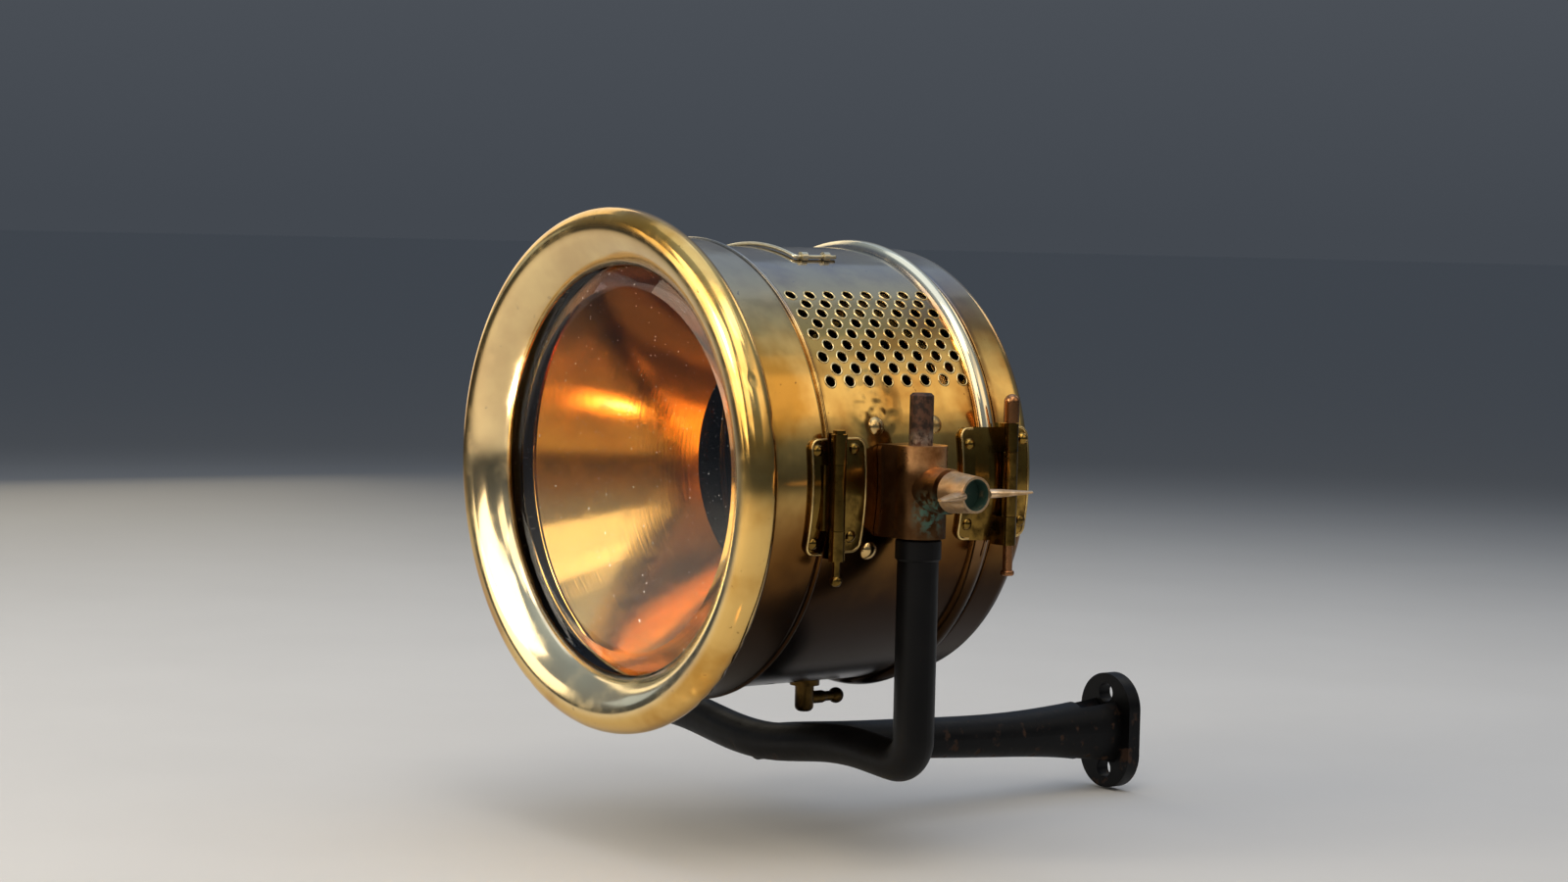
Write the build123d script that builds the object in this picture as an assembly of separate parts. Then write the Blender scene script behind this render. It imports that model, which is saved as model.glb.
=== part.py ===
from build123d import *
import os
from math import asin, cos, radians, sin, sqrt

# Acetylene headlamp on its forked bracket, in millimetres, +Z up, lens towards -Y.
# The hinges are on the +X side. Pieces are drawn in the lamp's own frame, with the
# lamp's axis along Y and the front ring in the plane y = 0, and moved at the end so
# that the origin is the middle of the bracket flange's rear face.

# Driving sizes of the drum, which most other pieces follow.
DRUM_R = 107.4
DRUM_T = 1.2
FRONT_SEAM_Y = 45.8
REAR_SEAM_Y = 149.2
SPIGOT_L = 14.8
SEAM_BEAD_W = 1.0
SEAM_BEAD_H = 0.8
BEAD_W = 10.0
BEAD_H = 4.0
BEAD_INSET = 1.6

# Air holes: staggered rows of holes with a turned-out lip, mirrored to the far side.
HOLE_R = 2.65
HOLE_PITCH_Y = 11.35
HOLE_ROW_DEG = 3.37
HOLE_FIRST_DEG = 25.9
HOLE_INSET = 9.5
HOLE_ROW_COUNTS = (8, 7, 8, 7, 8, 7, 8, 7, 8)
# Inlet holes under the drum, in short rows each side of the gas pipe.
INLET_R = 2.65
INLET_DEG = (-104.0, -97.0, -83.0, -76.0)
INLET_INSETS = (32.0, 46.0, 60.0)

# Front door: a spun ring with a rolled rim and a skirt that slips over the drum.
SHEET_T = 1.4
SPIGOT_GAP = 2.2
RIM_OVERHANG = 14.0
RIM_R = 9.0
FLARE_LIP = 12.1
GLASS_EDGE_Y = 5.0
SKIRT_BEAD_H = 0.7
# Bevelled plate glass and the spring ring behind it.
GLASS_T = 6.0
GLASS_GAP = 4.0
BEVEL_W = 10.0
BEVEL_DROP = 2.6
RETAINER_T = 2.6
RETAINER_W = 6.0

# Rear door.
COVER_DEPTH = 28.0
COVER_EDGE_R = 8.0
COVER_CROWN = 5.0
COVER_LIP_L = 6.0

# Reflector cone and rear mirror.
CONE_GAP = 9.2
CONE_REAR_R = 56.5
CONE_FRONT_Y = 24.0
CONE_REAR_Y = 95.0
CONE_T = 1.0
CONE_RIM_R = 1.6
STRAP_W = 12.0
STRAP_T = 1.5
STRAP_DEG = (90.0, 210.0, 330.0)
MIRROR_GAP = 32.0
MIRROR_SAG = 15.0
MIRROR_T = 4.0
MIRROR_INSET = 6.8
HOLDER_W = 10.0
HOLDER_DEG = (30.0, 150.0, 270.0)

# Hinges. The front pin ends in a knob, the rear one is a loose pin that lifts out.
FRONT_HINGE_Z = -5.0
FRONT_BARREL_R = 3.6
FRONT_PIN_R = 1.8
REAR_HINGE_Z = -2.0
REAR_BARREL_R = 3.6
REAR_PIN_R = 2.35
BARREL_L = 58.0
MIDDLE_KNUCKLE_L = 30.0
KNUCKLE_GAP = 0.35
LEAF_T = 1.5
LEAF_L = 54.0
LEAF_CORNER_R = 5.0
FRONT_LEAF_W = 17.3
DOOR_LEAF_W = 10.0
REAR_LEAF_W = 23.0
COVER_LEAF_W = 16.0
WEB_T = 2.4
PIN_KNOB_R = 2.8
PIN_KNOB_DROP = 9.0
PULL_HEAD_R = 3.7
PULL_HEAD_H = 13.5
PULL_TAIL_H = 12.0
PULL_FOOT_R = 3.3
PULL_FOOT_H = 2.6

# Lugs on the drum, post pins and wing screws.
LUG_PLATE_T = 2.6
LUG_PLATE_W = 29.0
LUG_CORNER_R = 3.0
SOCKET_OD = 25.0
SOCKET_Z = (-24.5, 18.4)
POST_Y = 90.5
BOSS_OD = 21.0
BOSS_L = 9.0
CLAMP_Z = -1.5
POST_PIN_OD = 11.2
POST_PIN_TOP_Z = 42.5
POST_PIN_SEAT = 16.0
SCREW_NECK_R = 5.0
SCREW_STANDOFF = 2.4
SCREW_BASE_R = 9.6
SCREW_END_R = 8.4
SCREW_BODY_L = 16.2
SCREW_CUP_R = 7.1
SCREW_CUP_DEPTH = 7.0
WING_SPAN = 54.5
WING_ROOT_T = 4.4
WING_TIP_T = 1.4
WING_W = 8.5
WING_LEAN = 6.5
WING_TURN_DEG = 2.0

# Fork.
POST_OD = 19.3
COLLAR_OD = 21.5
COLLAR_H = 10.4
ELBOW_R = 12.0
ELBOW_DROP = 28.8
# Each station: share of the bar's half length, rise over the elbow, width and height.
BAR_MID_DROP = 5.0
BAR_MID_H = 18.5
BAR_MID_W = 21.0
BAR_STATIONS = ((0.333, -1.8, 20.2, 18.6), (0.666, 1.8, 19.4, 18.8))
HUB_OD = 17.5
HUB_DROP = 1.8

# Arm and its bolted flange. Each station: y, share of the fall, width and height.
ARM_ROOT_OD = 17.0
ARM_STATIONS = ((140.0, 0.22, 18.6, 18.6), (177.0, 0.42, 20.0, 20.0), (213.0, 0.60, 21.2, 21.4),
                (247.0, 0.73, 22.2, 23.0), (278.0, 0.80, 23.2, 26.2), (304.0, 0.87, 25.0, 31.5))
ARM_END_W = 27.0
ARM_END_H = 41.0
ARM_FALL = 12.7
FLANGE_BACK_Y = 333.0
FLANGE_T = 8.0
FLANGE_W = 38.0
FLANGE_H = 62.0
BOLT_SPACING = 41.0
BOLT_HOLE_R = 5.25

# Gas inlet and burner.
GAS_Y = 119.4
GAS_PIPE_OD = 9.5
GAS_PIPE_DROP = 16.7
GAS_FLANGE_OD = 15.0
GAS_FLANGE_H = 3.0
NOZZLE_DROP = 10.1
NOZZLE_L = 24.0
NOZZLE_OD = 6.4
NOZZLE_NECK_OD = 5.0
NOZZLE_BALL_R = 4.0
NOZZLE_BORE_R = 1.6
BURNER_BASE_OD = 12.0
BURNER_BASE_H = 10.0
BURNER_BASE_Z = -42.0
BURNER_SPAN = 30.0
BURNER_TUBE_R = 2.2
BURNER_TIP_R = 3.0
BURNER_TIP_L = 9.0

# Bent wire that lies over the drum's top, held in two eyes on the near side.
BAIL_DEG = 71.7
BAIL_Y = (81.0, 104.5)
BAIL_WIRE_R = 1.0
EYE_R = 2.3
EYE_W = 3.4
EYE_INSET = 5.0

# Catches opposite the hinges: a spring tongue on each door and a stud on the drum.
CATCH_W = 14.0
CATCH_T = 1.6
CATCH_REACH = 14.0
CATCH_ROOT = 12.0
CATCH_LIFT = 2.4
STUD_R = 2.6
STUD_FOOT_R = 6.0
STUD_FOOT_H = 1.6

# Clearances.
SEAT = 0.3
PIN_FIT = 0.05
TAP_FIT = 0.05

# Sizes worked out from those above.
DRUM_IN_R = DRUM_R - DRUM_T
SPIGOT_Y = FRONT_SEAM_Y - SPIGOT_L
BEAD_Y = REAR_SEAM_Y - BEAD_W / 2 - BEAD_INSET
BEAD_TOP_R = DRUM_R + BEAD_H
LEAF_R = DRUM_R + SEAT
SKIRT_IN_R = DRUM_R + SPIGOT_GAP
SKIRT_R = SKIRT_IN_R + SHEET_T
SKIRT_BEAD_R = SKIRT_R + SKIRT_BEAD_H
RING_R = SKIRT_R + RIM_OVERHANG
RIM_C = RING_R - RIM_R
GLASS_OPENING_R = SKIRT_IN_R - FLARE_LIP
GLASS_R = SKIRT_IN_R - GLASS_GAP
GLASS_Y = GLASS_EDGE_Y + SHEET_T + SEAT
GLASS_BACK_Y = GLASS_Y + GLASS_T
RETAINER_Y = GLASS_BACK_Y + SEAT
CONE_FRONT_R = DRUM_IN_R - CONE_GAP
COVER_Y = REAR_SEAM_Y + SEAT + 0.4
COVER_BACK_Y = COVER_Y + COVER_DEPTH
COVER_LIP_R = DRUM_IN_R - SEAT
COVER_IN_R = DRUM_R - SHEET_T
MIRROR_R = DRUM_IN_R - MIRROR_GAP
MIRROR_Y = REAR_SEAM_Y + MIRROR_INSET
FRONT_HINGE_X = SKIRT_BEAD_R + SEAT + FRONT_BARREL_R
FRONT_HINGE_Y = FRONT_SEAM_Y + 0.4
REAR_HINGE_X = BEAD_TOP_R + SEAT + LEAF_T / 2 + REAR_BARREL_R
REAR_HINGE_Y = REAR_SEAM_Y + 0.4
LUG_FACE_R = LEAF_R + LUG_PLATE_T
POST_X = LEAF_R + SOCKET_OD / 2 + SEAT
POST_TOP_Z = SOCKET_Z[0] - SEAT
BAR_END_X = POST_X - ELBOW_R
ELBOW_Z = -(BEAD_TOP_R + ELBOW_DROP) + POST_OD / 2
BEND_Z = ELBOW_Z + ELBOW_R
BAR_MID_Z = ELBOW_Z - BAR_MID_DROP
HUB_Z = BAR_MID_Z - HUB_DROP
FLANGE_Z = HUB_Z - ARM_FALL
FRONT_STUD_Y = FRONT_SEAM_Y + CATCH_REACH
REAR_STUD_Y = BEAD_Y - BEAD_W / 2 - STUD_FOOT_R - 1
GAS_BOTTOM_Z = -(DRUM_R + GAS_PIPE_DROP)
NOZZLE_Z = -(DRUM_R + NOZZLE_DROP)


def ring_solid(points):
    """Revolve a closed outline of (radius, y) points about the lamp's axis."""
    outline = make_face(Polyline([(r, y) for r, y in points], close=True))
    return revolve(outline, axis=Axis.Y, revolution_arc=360)


def tube_y(r_out, r_in, y0, y1):
    """Return a tube along the lamp's axis from y0 to y1."""
    return ring_solid([(r_in, y0), (r_out, y0), (r_out, y1), (r_in, y1)])


def rod(centre, r, length, direction=(0, 0, 1)):
    """Return a rod that starts at a centre and runs along a direction."""
    return extrude(Plane(origin=centre, z_dir=direction) * Circle(r), amount=length)


def side_panel(y0, y1, z0, z1, corner):
    """Return a block on the +X side whose outline in YZ has rounded corners."""
    plane = Plane(origin=(DRUM_R / 2, (y0 + y1) / 2, (z0 + z1) / 2), x_dir=(0, 1, 0),
                  z_dir=(1, 0, 0))
    return extrude(plane * RectangleRounded(y1 - y0, z1 - z0, corner), amount=DRUM_R)


def to_far_side(solid):
    """Mirror a solid of the +X side to the -X side."""
    return mirror(solid, about=Plane.YZ)


def bezel_ring():
    """Rolled rim, concave flare down to the glass, and the skirt over the drum."""
    rim = [(RIM_C + RIM_R * cos(radians(a)), RIM_R * sin(radians(a)))
           for a in (-120, -90, -60, -30, 0, 30, 55)]
    neck_y = RIM_R + 2.5
    t = SHEET_T
    lip = Line((GLASS_OPENING_R, GLASS_EDGE_Y + t), (GLASS_OPENING_R, GLASS_EDGE_Y))
    flare = Spline([(GLASS_OPENING_R, GLASS_EDGE_Y), (GLASS_OPENING_R + 4.5, GLASS_EDGE_Y - 5.2),
                    rim[0]], tangents=[(0.35, -1), (0.87, -0.5)])
    roll = ThreePointArc(rim[0], rim[2], rim[4])
    heel = ThreePointArc(rim[4], rim[5], rim[6])
    neck = Spline([rim[6], (SKIRT_R, neck_y + 3)], tangents=[(-0.82, 0.57), (0, 1)])
    skirt = Polyline([(SKIRT_R, neck_y + 3), (SKIRT_R, FRONT_SEAM_Y - 2.2),
                      (SKIRT_BEAD_R, FRONT_SEAM_Y - 1.6), (SKIRT_BEAD_R, FRONT_SEAM_Y),
                      (SKIRT_IN_R, FRONT_SEAM_Y), (SKIRT_IN_R, GLASS_EDGE_Y + t),
                      (GLASS_OPENING_R, GLASS_EDGE_Y + t)])
    return revolve(make_face([lip, flare, roll, heel, neck, skirt]), axis=Axis.Y)


def front_glass():
    """Clear plate glass with a wide bevel round its front face."""
    edge_y = GLASS_Y + BEVEL_DROP
    inner_r = GLASS_OPENING_R - BEVEL_W
    return ring_solid([(0, GLASS_Y), (inner_r, GLASS_Y), (GLASS_R, edge_y),
                       (GLASS_R, GLASS_BACK_Y), (0, GLASS_BACK_Y)])


def glass_retainer():
    """Spring ring that holds the glass from behind."""
    r_out = SKIRT_IN_R - SEAT
    return ring_solid([(r_out - RETAINER_W, RETAINER_Y), (r_out, RETAINER_Y),
                       (r_out, RETAINER_Y + RETAINER_T), (r_out - 2, RETAINER_Y + RETAINER_T),
                       (r_out - RETAINER_W, RETAINER_Y + RETAINER_T * 0.6)])


def hole_places():
    """Angle above the horizontal and y of each air hole on one side."""
    places = []
    for row, count in enumerate(HOLE_ROW_COUNTS):
        shift = HOLE_PITCH_Y / 2 if row % 2 else 0.0
        for k in range(count):
            angle = HOLE_FIRST_DEG + row * HOLE_ROW_DEG
            places.append((angle, FRONT_SEAM_Y + HOLE_INSET + shift + k * HOLE_PITCH_Y))
    return places


def drill(angle, y, r):
    """Return a short radial drill that crosses the drum's wall."""
    out = (cos(radians(angle)), 0, sin(radians(angle)))
    start = (out[0] * (DRUM_IN_R - 3), y, out[2] * (DRUM_IN_R - 3))
    return rod(start, r, DRUM_T + 6, out)


def drum_shell():
    """Thin spun drum with a seam step, a rear bead and its air holes."""
    step_y = FRONT_SEAM_Y + SEAT + 0.2
    bead = [(DRUM_R + BEAD_H * sin(radians(a)), BEAD_Y - BEAD_W / 2 * cos(radians(a)))
            for a in (0, 30, 60, 90, 120, 150, 180)]
    front = Polyline([(DRUM_R, BEAD_Y - BEAD_W / 2), (DRUM_R, step_y + SEAM_BEAD_W),
                      (DRUM_R + SEAM_BEAD_H, step_y + SEAM_BEAD_W), (DRUM_R + SEAM_BEAD_H, step_y),
                      (DRUM_R, step_y), (DRUM_R, SPIGOT_Y), (DRUM_IN_R, SPIGOT_Y),
                      (DRUM_IN_R, REAR_SEAM_Y), (DRUM_R, REAR_SEAM_Y),
                      (DRUM_R, BEAD_Y + BEAD_W / 2)])
    crest = ThreePointArc(bead[-1], bead[3], bead[0])
    shell = revolve(make_face([front, crest]), axis=Axis.Y)
    near = [drill(angle, y, HOLE_R) for angle, y in hole_places()]
    far = [drill(180 - angle, y, HOLE_R) for angle, y in hole_places()]
    inlets = [drill(angle, FRONT_SEAM_Y + y, INLET_R) for angle in INLET_DEG for y in INLET_INSETS]
    pipe = rod((0, GAS_Y, -DRUM_R - 6), GAS_PIPE_OD / 2 + SEAT, 14)
    return shell - near - far - inlets - pipe


def top_bail():
    """Bent wire folded flat on the drum: one leg over the top between two rails."""
    y0, y1 = BAIL_Y
    r = DRUM_R + SEAT + BAIL_WIRE_R
    near_x = r * cos(radians(BAIL_DEG))
    rail_z = r * sin(radians(BAIL_DEG))
    foot = Plane(origin=(r, y0, 0), z_dir=(0, 0, 1)) * Circle(BAIL_WIRE_R)
    leg = revolve(foot, axis=Axis((0, y0, 0), (0, -1, 0)), revolution_arc=180 - 2 * BAIL_DEG)
    wire = Rot(0, -BAIL_DEG, 0) * leg
    for x in (near_x, -near_x):
        start = (x, y0 - BAIL_WIRE_R, rail_z)
        wire += rod(start, BAIL_WIRE_R, y1 - y0 + 2 * BAIL_WIRE_R, (0, 1, 0))
    return wire


def bail_eye(y):
    """Small eye that holds the bail's near rail on the drum."""
    out = Vector(cos(radians(BAIL_DEG)), 0, sin(radians(BAIL_DEG)))
    centre = out * (DRUM_R + SEAT + BAIL_WIRE_R) + Vector(0, y - EYE_W / 2, 0)
    eye = rod(tuple(centre), EYE_R, EYE_W, (0, 1, 0))
    eye -= rod(tuple(centre - Vector(0, 1, 0)), BAIL_WIRE_R + PIN_FIT, EYE_W + 2, (0, 1, 0))
    return eye - rod((0, y - EYE_W, 0), LEAF_R, 2 * EYE_W, (0, 1, 0))


def front_bail_eye():
    """Eye near the bail's front leg."""
    return bail_eye(BAIL_Y[0] + EYE_INSET)


def rear_bail_eye():
    """Eye near the bail's rear leg."""
    return bail_eye(BAIL_Y[1] - EYE_INSET)


def reflector_cone():
    """Open cone with a rolled front rim and three straps to the drum."""
    t = CONE_T
    wall = ring_solid([(CONE_REAR_R, CONE_REAR_Y), (CONE_FRONT_R, CONE_FRONT_Y),
                       (CONE_FRONT_R + t, CONE_FRONT_Y), (CONE_REAR_R + t, CONE_REAR_Y)])
    rim_face = Pos(CONE_FRONT_R + CONE_RIM_R * 0.6, CONE_FRONT_Y) * Circle(CONE_RIM_R)
    cone = wall + revolve(rim_face, axis=Axis.Y)
    foot_r = DRUM_IN_R - SEAT
    strap_y = CONE_FRONT_Y + 3.0
    root_r = CONE_FRONT_R + t - 2.0
    for angle in STRAP_DEG:
        web = Pos((root_r + foot_r) / 2, strap_y, 0) * Box(foot_r - root_r, STRAP_T, STRAP_W)
        leg_y = SPIGOT_Y + 8.0
        leg = Pos(foot_r - STRAP_T / 2, (strap_y + leg_y) / 2, 0)
        leg = leg * Box(STRAP_T, leg_y - strap_y + STRAP_T, STRAP_W)
        cone += Rot(0, -angle, 0) * (web + leg)
    inside = ring_solid([(0, CONE_REAR_Y + 1), (CONE_REAR_R - 0.5, CONE_REAR_Y + 1),
                         (CONE_REAR_R, CONE_REAR_Y), (CONE_FRONT_R, CONE_FRONT_Y),
                         (CONE_FRONT_R, CONE_FRONT_Y - 3), (0, CONE_FRONT_Y - 3)])
    return (cone - inside) & rod((0, 0, 0), foot_r, REAR_SEAM_Y, (0, 1, 0))


def crown(r, y, rise):
    """Arc from the rim at (r, y) to the pole at y + rise, centred on the axis."""
    ball_r = (r * r + rise * rise) / (2 * rise)
    half = asin(r / ball_r) / 2
    middle = (ball_r * sin(half), y + rise - ball_r * (1 - cos(half)))
    return ThreePointArc((r, y), middle, (0, y + rise))


def mirror_glass():
    """Silvered dish behind the flame, hollow towards the lens, of even thickness."""
    y = MIRROR_Y
    back_y = y + MIRROR_T
    rim = Line((MIRROR_R, y), (MIRROR_R, back_y))
    pole = Line((0, y + MIRROR_SAG), (0, back_y + MIRROR_SAG))
    outline = [crown(MIRROR_R, y, MIRROR_SAG), rim, crown(MIRROR_R, back_y, MIRROR_SAG), pole]
    return revolve(make_face(outline), axis=Axis.Y)


def mirror_holder():
    """Ring round the mirror with three feet on the rear door's band."""
    r0 = MIRROR_R + SEAT
    ring = ring_solid([(r0, MIRROR_Y + MIRROR_T * 0.5), (r0, MIRROR_Y - SEAT),
                       (r0 - 3, MIRROR_Y - SEAT - 0.4), (r0 - 3, MIRROR_Y - SEAT - 1.6),
                       (r0 + 1.5, MIRROR_Y - SEAT - 1.6), (r0 + 1.5, MIRROR_Y + MIRROR_T + 3),
                       (r0 - 0.2, MIRROR_Y + MIRROR_T + 3), (r0 - 0.2, MIRROR_Y + MIRROR_T + SEAT),
                       (r0, MIRROR_Y + MIRROR_T + SEAT)])
    foot_r = COVER_IN_R - SEAT
    for angle in HOLDER_DEG:
        arm = Pos((r0 + 0.8 + foot_r) / 2, MIRROR_Y + MIRROR_T + 1.6, 0)
        arm = arm * Box(foot_r - r0 - 0.8, 2.0, HOLDER_W)
        ring += Rot(0, -angle, 0) * arm
    return ring & rod((0, 0, 0), foot_r, COVER_BACK_Y, (0, 1, 0))


def rear_cover():
    """Shallow pressed cap with a rounded edge, a crowned back and an inner lip."""
    t = SHEET_T
    r = DRUM_R
    e = COVER_EDGE_R
    flat_y = COVER_BACK_Y - COVER_CROWN
    s = sqrt(0.5)
    outer = [Line((r, COVER_Y), (r, flat_y - e)),
             ThreePointArc((r, flat_y - e), (r - e + e * s, flat_y - e + e * s), (r - e, flat_y)),
             crown(r - e, flat_y, COVER_CROWN)]
    i = e - t
    lip_r = COVER_LIP_R
    inner = [Line((0, COVER_BACK_Y), (0, COVER_BACK_Y - t)), crown(r - e, flat_y - t, COVER_CROWN),
             ThreePointArc((r - e, flat_y - t), (r - e + i * s, flat_y - e + i * s),
                           (r - t, flat_y - e)),
             Polyline([(r - t, flat_y - e), (r - t, COVER_Y + 4), (lip_r - t, COVER_Y + 3),
                       (lip_r - t, COVER_Y - COVER_LIP_L), (lip_r, COVER_Y - COVER_LIP_L),
                       (lip_r, COVER_Y), (r, COVER_Y)])]
    return revolve(make_face(outer + inner), axis=Axis.Y)


def knuckles(x, y, z, r, pin_r, middle):
    """Barrel pieces of one hinge half: the middle one, or the two ends."""
    half = BARREL_L / 2
    mid = MIDDLE_KNUCKLE_L / 2
    if middle:
        spans = [(z - mid, z + mid)]
    else:
        spans = [(z + mid + KNUCKLE_GAP, z + half), (z - half, z - mid - KNUCKLE_GAP)]
    parts = []
    for low, high in spans:
        barrel = rod((x, y, low), r, high - low)
        parts.append(barrel)
    bore = rod((x, y, z - half - 1), pin_r + PIN_FIT, BARREL_L + 2)
    return parts, bore, spans


def leaf_edge_x(r):
    """Distance from the lamp's mid plane to a leaf's end corner, less an overlap."""
    return sqrt(r * r - BARREL_L * BARREL_L / 3.4) - 3 * LEAF_T


def web(x, y, r, spans, drum_r):
    """Bent strips that join the knuckles to the leaf behind them."""
    y_mid = y + r - WEB_T * 0.45 + WEB_T / 2
    x_in = leaf_edge_x(drum_r)
    core = rod((0, y - 20, 0), drum_r, 50, (0, 1, 0))
    strips = []
    for low, high in spans:
        strip = Pos((x + x_in) / 2, y_mid, (low + high) / 2) * Box(x - x_in, WEB_T, high - low)
        strips.append(strip - core)
    return strips


def curved_leaf(profile, y0, y1, z):
    """Cut a leaf with rounded corners from a revolved sheet profile."""
    sheet = ring_solid(profile)
    panel = side_panel(y0, y1, z - LEAF_L / 2, z + LEAF_L / 2, LEAF_CORNER_R)
    return sheet & panel


def front_hinge_drum_leaf():
    """Rear half of the front hinge, on the drum, with the two end knuckles."""
    x, y, z = FRONT_HINGE_X, FRONT_HINGE_Y, FRONT_HINGE_Z
    parts, bore, spans = knuckles(x, y, z, FRONT_BARREL_R, FRONT_PIN_R, False)
    y0 = y + FRONT_BARREL_R - WEB_T * 0.45
    y1 = y0 + WEB_T + FRONT_LEAF_W
    sheet = [(LEAF_R, y0), (LEAF_R + LEAF_T, y0), (LEAF_R + LEAF_T, y1), (LEAF_R, y1)]
    leaf = curved_leaf(sheet, y0 - LEAF_CORNER_R, y1, z)
    solid = leaf
    for piece in web(x, y, FRONT_BARREL_R, spans, LEAF_R) + parts:
        solid += piece
    return solid - bore


def front_hinge_door_leaf():
    """Front half of the front hinge, on the door's skirt, with the middle knuckle."""
    x, y, z = FRONT_HINGE_X, FRONT_HINGE_Y, FRONT_HINGE_Z
    parts, bore, spans = knuckles(x, y, z, FRONT_BARREL_R, FRONT_PIN_R, True)
    y1 = FRONT_SEAM_Y - 2.5
    y0 = y1 - DOOR_LEAF_W
    r = SKIRT_R + SEAT
    sheet = [(r, y0), (r + LEAF_T, y0), (r + LEAF_T, y1), (r, y1)]
    leaf = curved_leaf(sheet, y0, y1 + LEAF_CORNER_R, z)
    reach = y - y1 + 4
    tongue = Pos(x - FRONT_BARREL_R + LEAF_T / 2, y - reach / 2, z)
    tongue = tongue * Box(LEAF_T + 0.6, reach, MIDDLE_KNUCKLE_L)
    core = rod((0, y0, 0), SKIRT_BEAD_R + SEAT - 0.05, DOOR_LEAF_W + 20, (0, 1, 0))
    return leaf + (tongue - core) + (parts[0] - core) - bore


def rear_hinge_drum_leaf():
    """Front half of the rear hinge: it steps over the drum's bead."""
    x, y, z = REAR_HINGE_X, REAR_HINGE_Y, REAR_HINGE_Z
    parts, bore, spans = knuckles(x, y, z, REAR_BARREL_R, REAR_PIN_R, False)
    low = LEAF_R
    high = BEAD_TOP_R + SEAT
    foot = BEAD_Y - BEAD_W / 2
    y1 = REAR_SEAM_Y - 0.4
    y0 = y1 - REAR_LEAF_W
    t = LEAF_T
    sheet = [(low, y0), (low + t, y0), (low + t, foot - 3.5), (high + t, foot + 1.5),
             (high + t, y1), (high, y1), (high, foot + 0.5), (low, foot - 2.5)]
    leaf = curved_leaf(sheet, y0, y1 + LEAF_CORNER_R, z)
    solid = leaf
    core = rod((0, y0, 0), high, 60, (0, 1, 0))
    for piece, (a, b) in zip(parts, spans):
        x_in = leaf_edge_x(high)
        bridge = Pos((x + x_in) / 2, y - REAR_BARREL_R + WEB_T * 0.3, (a + b) / 2)
        bridge = bridge * Box(x - x_in, WEB_T, b - a)
        solid += bridge - core
        solid += piece
    half = MIDDLE_KNUCKLE_L / 2 + KNUCKLE_GAP
    notch = rod((x, y, z - half), REAR_BARREL_R + SEAT, 2 * half)
    return solid - bore - notch


def rear_hinge_cover_leaf():
    """Rear half of the rear hinge, on the rear door's band."""
    x, y, z = REAR_HINGE_X, REAR_HINGE_Y, REAR_HINGE_Z
    parts, bore, spans = knuckles(x, y, z, REAR_BARREL_R, REAR_PIN_R, True)
    y0 = y + REAR_BARREL_R - WEB_T * 0.45
    y1 = y0 + COVER_LEAF_W
    r = LEAF_R
    sheet = [(r, y0), (r + LEAF_T, y0), (r + LEAF_T, y1), (r, y1)]
    solid = curved_leaf(sheet, y0 - LEAF_CORNER_R, y1, z)
    for piece in web(x, y, REAR_BARREL_R, spans, r) + parts:
        solid += piece
    return solid - bore


def front_hinge_pin():
    """Headed pin with a ball knob that hangs below the barrel."""
    x, y, z = FRONT_HINGE_X, FRONT_HINGE_Y, FRONT_HINGE_Z
    top = z + BARREL_L / 2 + SEAT
    low = z - BARREL_L / 2 - PIN_KNOB_DROP
    pin = rod((x, y, low), FRONT_PIN_R, top - low + 0.5)
    head = rod((x, y, top), FRONT_BARREL_R * 0.8, 1.6)
    return pin + head + Pos(x, y, low) * Sphere(PIN_KNOB_R)


def rear_hinge_pin():
    """Loose pin with a tall rounded head and a thin tail that ends in a bead."""
    x, y, z = REAR_HINGE_X, REAR_HINGE_Y, REAR_HINGE_Z
    top = z + BARREL_L / 2 + SEAT
    low = z - BARREL_L / 2
    head_h = PULL_HEAD_H - PULL_HEAD_R
    pin = rod((x, y, low), REAR_PIN_R, top - low + 0.5)
    tail = rod((x, y, low - PULL_TAIL_H), REAR_PIN_R, PULL_TAIL_H + 0.5)
    head = rod((x, y, top), PULL_HEAD_R, head_h)
    cap = Pos(x, y, top + head_h) * Sphere(PULL_HEAD_R)
    foot = rod((x, y, low - PULL_TAIL_H - PULL_FOOT_H), PULL_FOOT_R, PULL_FOOT_H)
    foot = fillet(foot.edges(), PULL_FOOT_H * 0.4)
    return pin + tail + head + cap + foot


def near_lug():
    """Cast socket on a curved foot, bored for the post pin, with a clamp boss."""
    s0, s1 = SOCKET_Z
    y0, y1 = POST_Y - LUG_PLATE_W / 2, POST_Y + LUG_PLATE_W / 2
    r = LEAF_R
    plate = tube_y(LUG_FACE_R, r, y0, y1) & side_panel(y0, y1, s0, s1, LUG_CORNER_R)
    socket = rod((POST_X, POST_Y, s0), SOCKET_OD / 2, s1 - s0)
    mid_z = (s0 + s1) / 2
    root = Plane(origin=(POST_X - 2, POST_Y, mid_z), x_dir=(0, 1, 0), z_dir=(-1, 0, 0))
    wide = Plane(origin=(DRUM_R - 6, POST_Y, mid_z), x_dir=(0, 1, 0), z_dir=(-1, 0, 0))
    cheek = loft([root * Rectangle(SOCKET_OD - 1, s1 - s0), wide * Rectangle(y1 - y0, s1 - s0)])
    boss = rod((POST_X, POST_Y, CLAMP_Z), BOSS_OD / 2, SOCKET_OD / 2 + BOSS_L, (1, 0, 0))
    body = plate + socket + cheek + boss
    body -= rod((0, y0 - 20, 0), r, y1 - y0 + 40, (0, 1, 0))
    body -= rod((POST_X, POST_Y, s0 - 5), POST_PIN_OD / 2 + PIN_FIT, s1 - s0 + 10)
    tap = rod((POST_X, POST_Y, CLAMP_Z), SCREW_NECK_R + TAP_FIT, SOCKET_OD * 2, (1, 0, 0))
    return body - tap


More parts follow.
